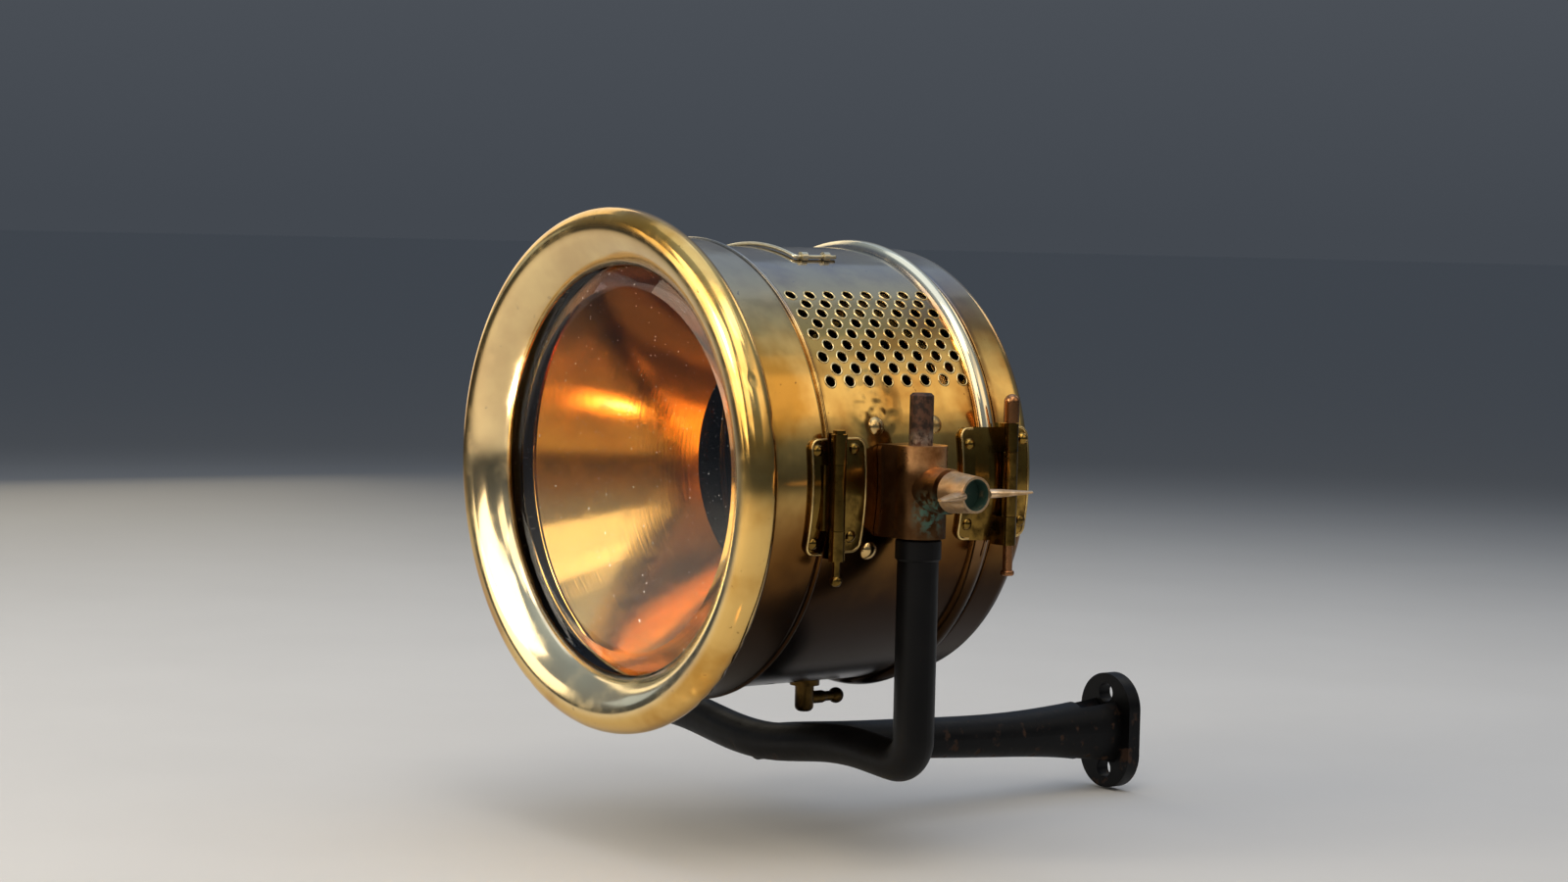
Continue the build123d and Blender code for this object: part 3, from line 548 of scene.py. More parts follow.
def on_drum(
    angles_deg: Sequence[float], y: Sequence[float], radius: float, side: Side
) -> tuple[np.ndarray, np.ndarray]:
    """Places and outward directions on a cylinder round the lamp's axis.

    Each place is (radius * cos a, y, radius * sin a), mirrored on the far side.

    Args:
        angles_deg: Angle above the horizontal, for each place.
        y: Distance along the axis, for each place.
        radius: The cylinder's radius in millimetres.
        side: NEAR or FAR.

    Returns:
        Places and unit directions, each (k, 3).
    """
    a = np.radians(np.asarray(angles_deg, float))
    y = np.asarray(y, float) + 0 * a
    ways = np.stack([side.value * np.cos(a), 0 * a, np.sin(a)], -1)
    return ways * radius + np.stack([0 * a, y, 0 * a], -1), ways


# Finishes


@dataclass(frozen=True)
class SpunBrass:
    """Spun sheet brass, hand polished: mirror-like, with marks round the axis.

    Spinning and years of polish leave faint lines round the axis and shallow waves,
    so reflections stretch and wander. Tarnish stays where no cloth reaches: brown at
    the seams, and soot with pale flakes inside. The undersides are painted brown and,
    further down, black as painted shade. Bluish-grey dust lies on top, its tint a
    painted reflection of the sky. A bead may be rubbed pale, a flare buffed and
    painted paler lower down as a painted highlight, and one spot of the sheet
    crumpled by a knock.
    """

    name: str
    bright: str = "#E2BC6C"
    deep: str = "#B8863C"
    tarnish: str = "#6A4420"
    # Painted shade: brown on the undersides and black further down.
    brown: str = "#7A4E22"
    black: str = "#1E1209"
    soot: str = "#0A0705"
    flaked: str = "#7E786A"
    # Dust on top, its bluish tint a painted reflection of the sky.
    dust: str = "#8FA0AA"
    rubbed: str = "#F6E6BE"
    buffed: str = "#F8E8BE"
    gloss: float = 0.10
    haze: float = 0.24
    drift: Patches = Patches(48.0, 0.38, 0.66, 4.0)
    smears: Patches = Patches(16.0, 0.42, 0.75, 5.0)
    specks: Patches = Patches(3.4, 0.70, 0.78, 2.0)
    worn: Patches = Patches(9.0, 0.25, 0.6)
    flakes: Patches = Patches(2.4, 0.64, 0.70, 4.0)
    line_gap_mm: float = 1.5
    line_mm: float = 0.006
    wave_gap_mm: float = 38.0
    wave_mm: float = 0.16
    edge_gap_mm: float = 34.0
    edge_swing_mm: float = 40.0
    seams: tuple[float, ...] = ()
    seam_mm: tuple[float, float] = (3.2, 0.4)
    behind_mm: float = -100.0
    behind_soft_mm: float = 3.0
    # Heights where the painted shade turns brown and then black.
    painted_shade_mm: tuple[float, float] = (20.0, -26.0)
    painted_black_mm: tuple[float, float] = (-8.0, -60.0)
    # Heights and share of the dust on top, with its painted sky reflection.
    dust_sky_mm: tuple[float, float] = (62.0, 104.0)
    dust_sky_share: float = 0.6
    specked: float = 0.75
    seamed: float = 0.7
    # Shares of the painted shade's brown and black.
    brown_share: float = 0.9
    painted_black_share: float = 0.94
    rubbed_share: float = 0.9
    flaked_share: float = 0.8
    soot_haze: float = 0.7
    rubbed_r: Optional[tuple[float, float]] = None
    buffed_r: Optional[tuple[float, float]] = None
    buffed_y: tuple[float, float] = (5.4, 4.6)
    # Heights and shares of the flare's buffing, painted paler lower down as a painted
    # highlight.
    buffed_and_highlight_z: tuple[float, float] = (40.0, -60.0)
    buffed_and_highlight_share: tuple[float, float] = (0.45, 0.75)
    crumpled_mm: Optional[tuple[float, float, float]] = None
    crumple_reach_mm: tuple[float, float] = (19.0, 7.0)
    crumple_gap_mm: float = 9.0
    crumple_mm: float = 1.3
    inner_r: float = 106.9
    inner_soft_mm: float = 0.4
    inner_y: tuple[float, float] = (5.8, 6.6)

    def material(self) -> bpy.types.Material:
        """Build the material.

        Returns:
            Brass with colour drift, polish lines, smears, specks, tarnish, painted shade,
            dust with a painted sky reflection and a painted highlight on a buffed flare.
        """
        coat = Coat(self.name)
        around = coat.from_axis()
        soft = self.behind_soft_mm
        behind = coat.y.step_mm(self.behind_mm - soft, self.behind_mm + soft)
        colour = coat.patches(self.drift).mix(self.bright, self.deep)
        stain = coat.patches(self.specks) * self.specked
        for seam in self.seams:
            near = (coat.y - seam * MM).worked("ABSOLUTE").step_mm(*self.seam_mm)
            stain = stain.most(near * coat.patches(self.worn) * self.seamed)
        colour = stain.mix(colour, self.tarnish)
        # Dust on top, its bluish tint a painted reflection of the sky.
        settled = coat.z.step_mm(*self.dust_sky_mm) * behind * self.dust_sky_share
        colour = settled.mix(colour, self.dust)
        if self.rubbed_r:
            bead = around.step_mm(*self.rubbed_r) * self.rubbed_share
            colour = bead.mix(colour, self.rubbed)
        if self.buffed_r:
            hollow = around.step_mm(*self.buffed_r) * coat.y.step_mm(*self.buffed_y)
            # The buffed flare is painted paler lower down: a painted highlight.
            buffed_and_highlight = coat.z.step_mm(*self.buffed_and_highlight_z).between(*self.buffed_and_highlight_share)
            colour = (hollow * buffed_and_highlight).mix(colour, self.buffed)
        # Painted shade: brown on the undersides, black further down.
        height = coat.z + coat.ragged(self.edge_gap_mm, self.edge_swing_mm)
        under = height.step_mm(*self.painted_shade_mm) * behind
        colour = (under * self.brown_share).mix(colour, self.brown)
        low = height.step_mm(*self.painted_black_mm) * behind
        colour = (low * self.painted_black_share).mix(colour, self.black)
        inside = around.step_mm(self.inner_r, self.inner_r - self.inner_soft_mm)
        inside = inside * coat.y.step_mm(*self.inner_y)
        flakes = coat.patches(self.flakes) * self.flaked_share
        lining = flakes.mix(self.soot, self.flaked)
        colour = inside.mix(colour, lining)
        dull = coat.patches(self.smears).most(stain.most(low))
        rough = dull.between(self.gloss, self.haze).most(inside * self.soot_haze)
        waves = coat.relief(coat.grain(self.wave_gap_mm, 1.0), self.wave_mm)
        if self.crumpled_mm:
            knock = coat.away(self.crumpled_mm).step_mm(*self.crumple_reach_mm)
            knock = knock * coat.grain(self.crumple_gap_mm, 1.0)
            waves = coat.relief(knock, self.crumple_mm, waves)
        lines = coat.grain(self.line_gap_mm, 2.0, ROUND_AXIS)
        normal = coat.relief(lines, self.line_mm, waves)
        return coat.finish(Metallic=1.0, Base_Color=colour, Roughness=rough, Normal=normal)


@dataclass(frozen=True)
class HeatedCopperBrass:
    """Reflector of spun copper-rich brass, heat-tinted, with painted light and shade.

    Its amber is painted pale on the lit lower wall and browner to dark upwards, as
    painted light and shade, and the spinning lines stretch a lamp's image along the
    cone. A dull film scatters some light, so the lit lower wall looks tan, and a thin
    lacquer lays a small white image of the lamp over the wide amber one.
    """

    name: str
    # Painted light and shade by height: pale below, then amber, brown and dark above.
    pale: str = "#FFC868"
    amber: str = "#F4A42C"
    brown: str = "#D07C10"
    dark: str = "#7A4A0C"
    lit_pale_mm: tuple[float, float] = (-34.0, 0.0)
    upper_shade_mm: tuple[float, float] = (-8.0, 30.0)
    top_shade_mm: tuple[float, float] = (14.0, 76.0)
    smears: Patches = Patches(14.0, 0.4, 0.75, 4.0)
    gloss: float = 0.12
    haze: float = 0.22
    line_gap_mm: float = 1.1
    line_mm: float = 0.026
    wave_gap_mm: float = 40.0
    wave_mm: float = 0.10
    edge_gap_mm: float = 30.0
    edge_swing_mm: float = 40.0
    film: float = 0.07
    lacquer: float = 0.6
    lacquer_haze: float = 0.08

    def material(self) -> bpy.types.Material:
        """Build the material.

        Returns:
            Amber metal with painted light and shade by height, and fine lines round the axis.
        """
        coat = Coat(self.name)
        # Painted light and shade: pale on the lit lower wall, browner and dark upwards.
        height = coat.z + coat.ragged(self.edge_gap_mm, self.edge_swing_mm)
        colour = height.step_mm(*self.lit_pale_mm).mix(self.pale, self.amber)
        colour = height.step_mm(*self.upper_shade_mm).mix(colour, self.brown)
        colour = height.step_mm(*self.top_shade_mm).mix(colour, self.dark)
        rough = coat.patches(self.smears).between(self.gloss, self.haze)
        waves = coat.relief(coat.grain(self.wave_gap_mm, 1.0), self.wave_mm)
        lines = coat.grain(self.line_gap_mm, 2.0, ROUND_CONE)
        return coat.finish(
            Metallic=1.0 - self.film, Coat_Weight=self.lacquer,
            Coat_Roughness=self.lacquer_haze, Base_Color=colour, Roughness=rough,
            Normal=coat.relief(lines, self.line_mm, waves),
        )


@dataclass(frozen=True)
class CastBronze:
    """Sand-cast bronze lug, rubbed smooth: warm orange-brown with a soft grain.

    Weather leaves brown patina. Painted shade darkens it towards the drum, and in
    front, below a ragged sloping line, a painted shadow of the front ring darkens it.
    Green verdigris grows where the clamp screw holds wet.
    """

    name: str
    side: Side = Side.NEAR
    warm: str = "#E8AE74"
    brown: str = "#80542E"
    # Colour of the painted shade and the painted shadow.
    dark: str = "#2E1D0E"
    green: str = "#3E5F50"
    patina: Patches = Patches(18.0, 0.35, 0.68, 5.0)
    crust: Patches = Patches(3.0, 0.42, 0.60, 5.0)
    # Where the painted shade near the drum and the front ring's painted shadow fall.
    drum_shade_r: tuple[float, float] = (127.0, 117.0)
    shadow_lean: float = 0.9
    shadow_line_mm: tuple[float, float] = (93.0, 83.0)
    wet_mm: tuple[float, float, float] = (138.0, 86.0, -12.0)
    wet_reach_mm: tuple[float, float] = (15.0, 6.0)
    edge_gap_mm: float = 11.0
    edge_swing_mm: float = 16.0
    shade_share: float = 0.85
    crusted: float = 0.9
    sand_gap_mm: float = 2.2
    sand_mm: float = 0.10
    gloss: float = 0.26
    haze: float = 0.62

    def material(self) -> bpy.types.Material:
        """Build the material.

        Returns:
            Patinated bronze with painted shade and shadow, and verdigris round the screw.
        """
        coat = Coat(self.name)
        patina = coat.patches(self.patina)
        colour = patina.mix(self.warm, self.brown)
        # Painted shade towards the drum, and the front ring's painted shadow below a ragged
        # sloping line.
        edge = coat.ragged(self.edge_gap_mm, self.edge_swing_mm)
        low = coat.y + coat.z * self.shadow_lean + edge
        lug_shade = coat.from_axis().step_mm(*self.drum_shade_r).most(low.step_mm(*self.shadow_line_mm))
        colour = (lug_shade * self.shade_share).mix(colour, self.dark)
        spot = (self.wet_mm[0] * self.side.value, *self.wet_mm[1:])
        green = coat.away(spot).step_mm(*self.wet_reach_mm) * coat.patches(self.crust)
        return coat.finish(
            Base_Color=green.mix(colour, self.green),
            Metallic=green.between(1.0, 1.0 - self.crusted),
            Roughness=patina.most(green).between(self.gloss, self.haze),
            Normal=coat.relief(coat.grain(self.sand_gap_mm, 4.0), self.sand_mm),
        )


@dataclass(frozen=True)
class DullScrewMetal:
    """Turned nickel-bronze screw, dulled grey-tan, its cupped end gone green.

    Faint turning marks run round its own axis, which lies along X.
    """

    name: str
    side: Side = Side.NEAR
    tan: str = "#DAB890"
    shade: str = "#A8875E"
    green: str = "#2A4438"
    dulled: Patches = Patches(7.0, 0.35, 0.7, 5.0)
    crust: Patches = Patches(4.0, 0.05, 0.45, 4.0)
    axis_y: float = 90.5
    axis_z: float = -1.5
    cup_x: tuple[float, float] = (150.0, 152.0)
    cup_r: tuple[float, float] = (7.5, 7.1)
    crusted: float = 0.85
    mark_gap_mm: float = 0.9
    mark_mm: float = 0.03
    gloss: float = 0.30
    haze: float = 0.60

    def material(self) -> bpy.types.Material:
        """Build the material.

        Returns:
            Grey-tan metal with turning marks and a green end.
        """
        coat = Coat(self.name)
        dulled = coat.patches(self.dulled)
        end = (coat.x * self.side.value).step_mm(*self.cup_x)
        cup = length_of(coat.y - self.axis_y * MM, coat.z - self.axis_z * MM)
        green = end * cup.step_mm(*self.cup_r) * coat.patches(self.crust)
        marks = coat.grain(self.mark_gap_mm, 2.0, ROUND_SCREW)
        return coat.finish(
            Base_Color=green.mix(dulled.mix(self.tan, self.shade), self.green),
            Metallic=green.between(1.0, 1.0 - self.crusted),
            Roughness=dulled.most(green).between(self.gloss, self.haze),
            Normal=coat.relief(marks, self.mark_mm),
        )


@dataclass(frozen=True)
class RustedSteel:
    """Turned steel pin, dark with old rust, paler where the lug has rubbed it."""

    name: str
    dark: str = "#30221A"
    rust: str = "#5A3C2A"
    bare: str = "#A89684"
    pits: Patches = Patches(2.6, 0.38, 0.62, 5.0)
    rubs: Patches = Patches(4.0, 0.36, 0.58)
    rubbed_mm: tuple[float, float] = (27.0, 19.5)
    haze: float = 0.62
    gloss: float = 0.34
    rusty_metal: float = 0.55
    bare_metal: float = 0.95
    pit_gap_mm: float = 1.6
    pit_mm: float = 0.16

    def material(self) -> bpy.types.Material:
        """Build the material.

        Returns:
            Dark pitted steel with rust and a rubbed foot.
        """
        coat = Coat(self.name)
        worn = coat.z.step_mm(*self.rubbed_mm) * coat.patches(self.rubs)
        rusty = coat.patches(self.pits).mix(self.dark, self.rust)
        return coat.finish(
            Base_Color=worn.mix(rusty, self.bare),
            Metallic=worn.between(self.rusty_metal, self.bare_metal),
            Roughness=worn.between(self.haze, self.gloss),
            Normal=coat.relief(coat.grain(self.pit_gap_mm, 4.0), self.pit_mm),
        )


@dataclass(frozen=True)
class BlackPaint:
    """Brushed black enamel over forged steel, satin from age.

    Brush flow leaves soft waves, and at the elbows' undersides it is worn to brown
    primer and rust. A few nicks go through to the same brown.
    """

    name: str
    black: str = "#040404"
    grey: str = "#0B0A0A"
    brown: str = "#3A281C"
    faded: Patches = Patches(40.0, 0.35, 0.7, 4.0)
    chips: Patches = Patches(7.0, 0.56, 0.66, 6.0)
    nicks: Patches = Patches(4.5, 0.74, 0.78)
    worn_mm: tuple[float, float] = (-133.0, -145.0)
    nicked: float = 0.7
    brush_gap_mm: float = 11.0
    brush_mm: float = 0.22
    paint_mm: float = 0.12
    sheen: float = 0.16
    gloss: float = 0.36
    haze: float = 0.66

    def material(self) -> bpy.types.Material:
        """Build the material.

        Returns:
            Satin black with worn places.
        """
        coat = Coat(self.name)
        faded = coat.patches(self.faded)
        worn = coat.z.step_mm(*self.worn_mm) * coat.patches(self.chips)
        worn = worn.most(coat.patches(self.nicks) * self.nicked)
        brushed = coat.relief(coat.grain(self.brush_gap_mm), self.brush_mm)
        return coat.finish(
            Specular_IOR_Level=self.sheen,
            Base_Color=worn.mix(faded.mix(self.black, self.grey), self.brown),
            Roughness=(faded * 0.5).most(worn).between(self.gloss, self.haze),
            Normal=coat.relief(worn, -self.paint_mm, brushed),
        )


@dataclass(frozen=True)
class WornBrass:
    """Small brass fittings, cast or drawn: softer gloss, brown in the hollows."""

    name: str
    bright: str = "#D8B468"
    brown: str = "#5E4018"
    brown_share: float = 0.5
    hollows: Patches = Patches(9.0, 0.40, 0.72, 5.0)
    gloss: float = 0.18
    haze: float = 0.42
    wave_gap_mm: float = 8.0
    wave_mm: float = 0.05
    scratch_gap_mm: float = 0.9
    scratch_mm: float = 0.008

    def material(self) -> bpy.types.Material:
        """Build the material.

        Returns:
            Worn brass with brown patches and fine scratches.
        """
        coat = Coat(self.name)
        hollows = coat.patches(self.hollows)
        waves = coat.relief(coat.grain(self.wave_gap_mm, 2.0), self.wave_mm)
        scratches = coat.grain(self.scratch_gap_mm, 2.0, UPRIGHT)
        return coat.finish(
            Metallic=1.0, Base_Color=(hollows * self.brown_share).mix(self.bright, self.brown),
            Roughness=hollows.between(self.gloss, self.haze),
            Normal=coat.relief(scratches, self.scratch_mm, waves),
        )


@dataclass(frozen=True)
class BevelledGlass:
    """Ground and polished plate glass: clear, with dust settled on it.

    The dust is a scatter of pale specks and a faint film that softens reflections.
    """

    name: str
    index: float = 1.46
    film: Patches = Patches(26.0, 0.35, 0.8, 4.0)
    specks: Patches = Patches(1.6, 0.752, 0.775, 1.0)
    haze: float = 0.03
    dusty: float = 0.4

    def material(self) -> bpy.types.Material:
        """Build the material.

        Returns:
            Clear glass with specks of dust.
        """
        coat = Coat(self.name)
        return coat.finish(
            IOR=self.index, Base_Color="#FFFFFF",
            Roughness=coat.patches(self.film).between(0.0, self.haze),
            Transmission_Weight=coat.patches(self.specks).between(1.0, 1.0 - self.dusty),
        )


@dataclass(frozen=True)
class SilveredGlass:
    """Mirror of silvered glass, a little clouded, with brown foxing in patches."""

    name: str
    silver: str = "#EDEDE8"
    fox: str = "#6B5A44"
    foxing: Patches = Patches(7.0, 0.60, 0.72, 5.0)
    foxed: float = 0.7
    gloss: float = 0.04
    haze: float = 0.35

    def material(self) -> bpy.types.Material:
        """Build the material.

        Returns:
            Bright mirror with brown foxing.
        """
        coat = Coat(self.name)
        foxing = coat.patches(self.foxing)
        colour = (foxing * self.foxed).mix(self.silver, self.fox)
        rough = foxing.between(self.gloss, self.haze)
        return coat.finish(Metallic=1.0, Base_Color=colour, Roughness=rough)


@dataclass(frozen=True)
class BurnerBrassAndStone:
    """Drawn brass burner with soapstone jets: satin brass below, matt cream tips."""

    name: str
    brass: str = "#C49A50"
    brown: str = "#6E4E22"
    cream: str = "#D9CFB8"
    soot: str = "#3A332A"
    tarnished: Patches = Patches(6.0, 0.4, 0.7)
    sooted: Patches = Patches(3.0, 0.45, 0.7)
    smoked: float = 0.4
    tip_mm: tuple[float, float] = (-14.2, -13.8)
    satin: float = 0.32
    matt: float = 0.8

    def material(self) -> bpy.types.Material:
        """Build the material.

        Returns:
            Brass that turns to cream stone at the jets.
        """
        coat = Coat(self.name)
        stone = coat.z.step_mm(*self.tip_mm)
        jets = (coat.patches(self.sooted) * self.smoked).mix(self.cream, self.soot)
        brass = coat.patches(self.tarnished).mix(self.brass, self.brown)
        return coat.finish(
            Base_Color=stone.mix(brass, jets), Metallic=stone.between(1.0, 0.0),
            Roughness=stone.between(self.satin, self.matt),
        )


@dataclass(frozen=True)
class PaleFloor:
    """Matt pale studio floor, greyer where it runs away from the light."""

    name: str = "matt_pale_studio_floor"
    light: str = "#CCC9C3"
    dark: str = "#C4C1BB"
    far: str = "#605E5A"
    mottle_mm: float = 160.0
    fade_mm: tuple[float, float] = (600.0, 2700.0)
    rough: float = 0.85

    def material(self) -> bpy.types.Material:
        """Build the material.

        Returns:
            Matt, nearly even pale grey that fades with distance.
        """
        coat = Coat(self.name)
        colour = coat.grain(self.mottle_mm).mix(self.light, self.dark)
        fade = length_of(coat.x, coat.y).step_mm(*self.fade_mm)
        return coat.finish(Roughness=self.rough, Base_Color=fade.mix(colour, self.far))


# Fitting out


def dress(nodes: Sequence[str], coat: bpy.types.Material) -> None:
    """Give CAD nodes a finish.

    Args:
        nodes: Names of the nodes.
        coat: The finish.
    """
    for name in nodes:
        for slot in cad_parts[name].material_slots:
            slot.material = coat
    LOG.info("dressed %s in %s", ", ".join(nodes), coat.name)


def fit(
    piece: bpy.types.Object, body: str, coat: bpy.types.Material,
    stands_for: Sequence[str] = (),
) -> None:
    """Give a new piece its finish and body, and hide the CAD nodes that it stands for.

    Args:
        piece: The new piece.
        body: Body that it moves with.
        coat: The finish.
        stands_for: CAD nodes that it replaces.
    """
    piece.data.materials.append(coat)
    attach(piece, body)
    if stands_for:
        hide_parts(*stands_for)
    LOG.info("built %s on %s, %d faces", piece.name, body, len(piece.data.polygons))


@dataclass(frozen=True)
class RivetHead:
    """Domed rivet head: its width and height, and how deep its foot is sunk."""

    width: float
    height: float
    foot: float = 0.35
    dome_steps: int = 9
    turns: int = 24

    def row(
        self, name: str, angles_deg: Sequence[float], y: Sequence[float], radius: float,
        side: Side = Side.NEAR,
    ) -> bpy.types.Object:
        """Set heads on a curved sheet.

        Each head is a cap of a ball, width across and height tall, on a short foot
        that goes into the sheet, carried round the sheet's outward direction.

        Args:
            name: The piece's name.
            angles_deg: Angle above the horizontal of each rivet.
            y: Distance along the lamp's axis of each rivet.
            radius: The sheet's outer radius.
            side: NEAR or FAR.

        Returns:
            One piece with all the heads.
        """
        places, ways = on_drum(angles_deg, y, radius, side)
        half = self.width / 2
        ball = (half**2 + self.height**2) / (2 * self.height)
        spread = np.linspace(0, math.asin(min(1.0, half / ball)), self.dome_steps)
        rise = self.height - ball * (1 - np.cos(spread))
        dome = np.stack([ball * np.sin(spread), rise], -1)
        foot = np.array([(half, -self.foot), (0.0, -self.foot)])
        heads = turned_on(places, ways, np.concatenate([dome, foot]), self.turns)
        return grid_mesh(name, heads, closed_v=True)


LEAF_HEAD = RivetHead(5.9, 1.9)
CATCH_HEAD = RivetHead(5.4, 1.5)
LUG_HEAD = RivetHead(9.0, 2.7)


@dataclass(frozen=True)
class HingeLeaf:
    """One pressed hinge leaf on the near side, with its two rivets and raised rim.

    Its sizes are the body it rides on, the rivets' angles and y, the rim's y at the
    knuckles and at the leaf's far edge, and the height of the leaf's middle.
    """

    name: str
    body: str
    rivet_deg: tuple[float, float]
    rivet_y: float
    open_y: float
    end_y: float
    middle_z: float
    face_r: float = 109.2
    half_z: float = 26.2
    inset: float = 0.8
    corner: float = 4.2
    rim: tuple[float, float] = (0.7, 0.5)
    rim_steps: tuple[int, int, int] = (13, 14, 30)
    head: RivetHead = LEAF_HEAD

    def raised_rim(self) -> bpy.types.Object:
        """Press the raised rim round three sides of the leaf.

        The line runs at an inset from the leaf's outline: from the open side along
        the top, round a corner and down the far side, and the same in mirror image
        below. It is bent to the leaf's curved face.

        Returns:
            The rim.
        """
        top, bend, side = self.rim_steps
        reach = abs(self.end_y - self.open_y) - self.inset
        start, drop = reach - self.corner, self.half_z - self.corner
        a = np.radians(np.linspace(90, 0, bend))
        u = np.concatenate(
            [
                np.linspace(0, start, top + 1)[:-1], start + self.corner * np.cos(a),
                np.full(side, reach),
            ]
        )
        w = np.concatenate(
            [
                np.full(top, self.half_z), drop + self.corner * np.sin(a),
                np.linspace(drop, 0, side + 1)[1:],
            ]
        )
        u, w = np.concatenate([u, u[-2::-1]]), np.concatenate([w, -w[-2::-1]])
        z = self.middle_z + w
        x = np.sqrt(self.face_r**2 - z**2)
        y = self.open_y + math.copysign(1.0, self.end_y - self.open_y) * u
        up = np.stack([x, 0 * x, z], -1) / self.face_r
        return wire_along(f"{self.name}_leaf_edge", np.stack([x, y, z], -1), up, *self.rim)

    def build(self, brass: bpy.types.Material, rubbed: bpy.types.Material) -> None:
        """Dress the leaf and fit its rivets and rim.

        Args:
            brass: Finish of the leaf and its rivets.
            rubbed: Finish of the raised rim.
        """
        dress([f"{self.name}_leaf"], brass)
        spots = (self.rivet_y,) * len(self.rivet_deg)
        heads = self.head.row(f"{self.name}_rivets", self.rivet_deg, spots, self.face_r)
        fit(heads, self.body, brass)
        fit(self.raised_rim(), self.body, rubbed)


def leaf_brass(name: str, bright: str, brown: str, brown_share: float) -> bpy.types.Material:
    """Pressed and polished brass of a hinge leaf."""
    return WornBrass(name, bright, brown, brown_share, gloss=0.12, haze=0.3).material()


def rim_brass(name: str) -> bpy.types.Material:
    """Brass of a leaf's raised rim, rubbed pale by the polishing cloth."""
    return WornBrass(name, "#D8B878", "#5A421E", 0.6, gloss=0.16, wave_mm=0.0).material()


@dataclass(frozen=True)
class Panel:
    """A soft light that looks at the drum's middle.

    Its azimuth and elevation are the direction from the object, its distance and its
    width and height are in millimetres, and its power is in watts.
    """

    name: str
    azimuth_deg: float
    elevation_deg: float
    distance: float
    size: tuple[float, float]
    watts: float
    colour: str


@dataclass(frozen=True)
class Snoot:
    """A small square light with a narrow beam, its opening in millimetres."""

    name: str
    opening: float
    beam_deg: float
    watts: float
    colour: str


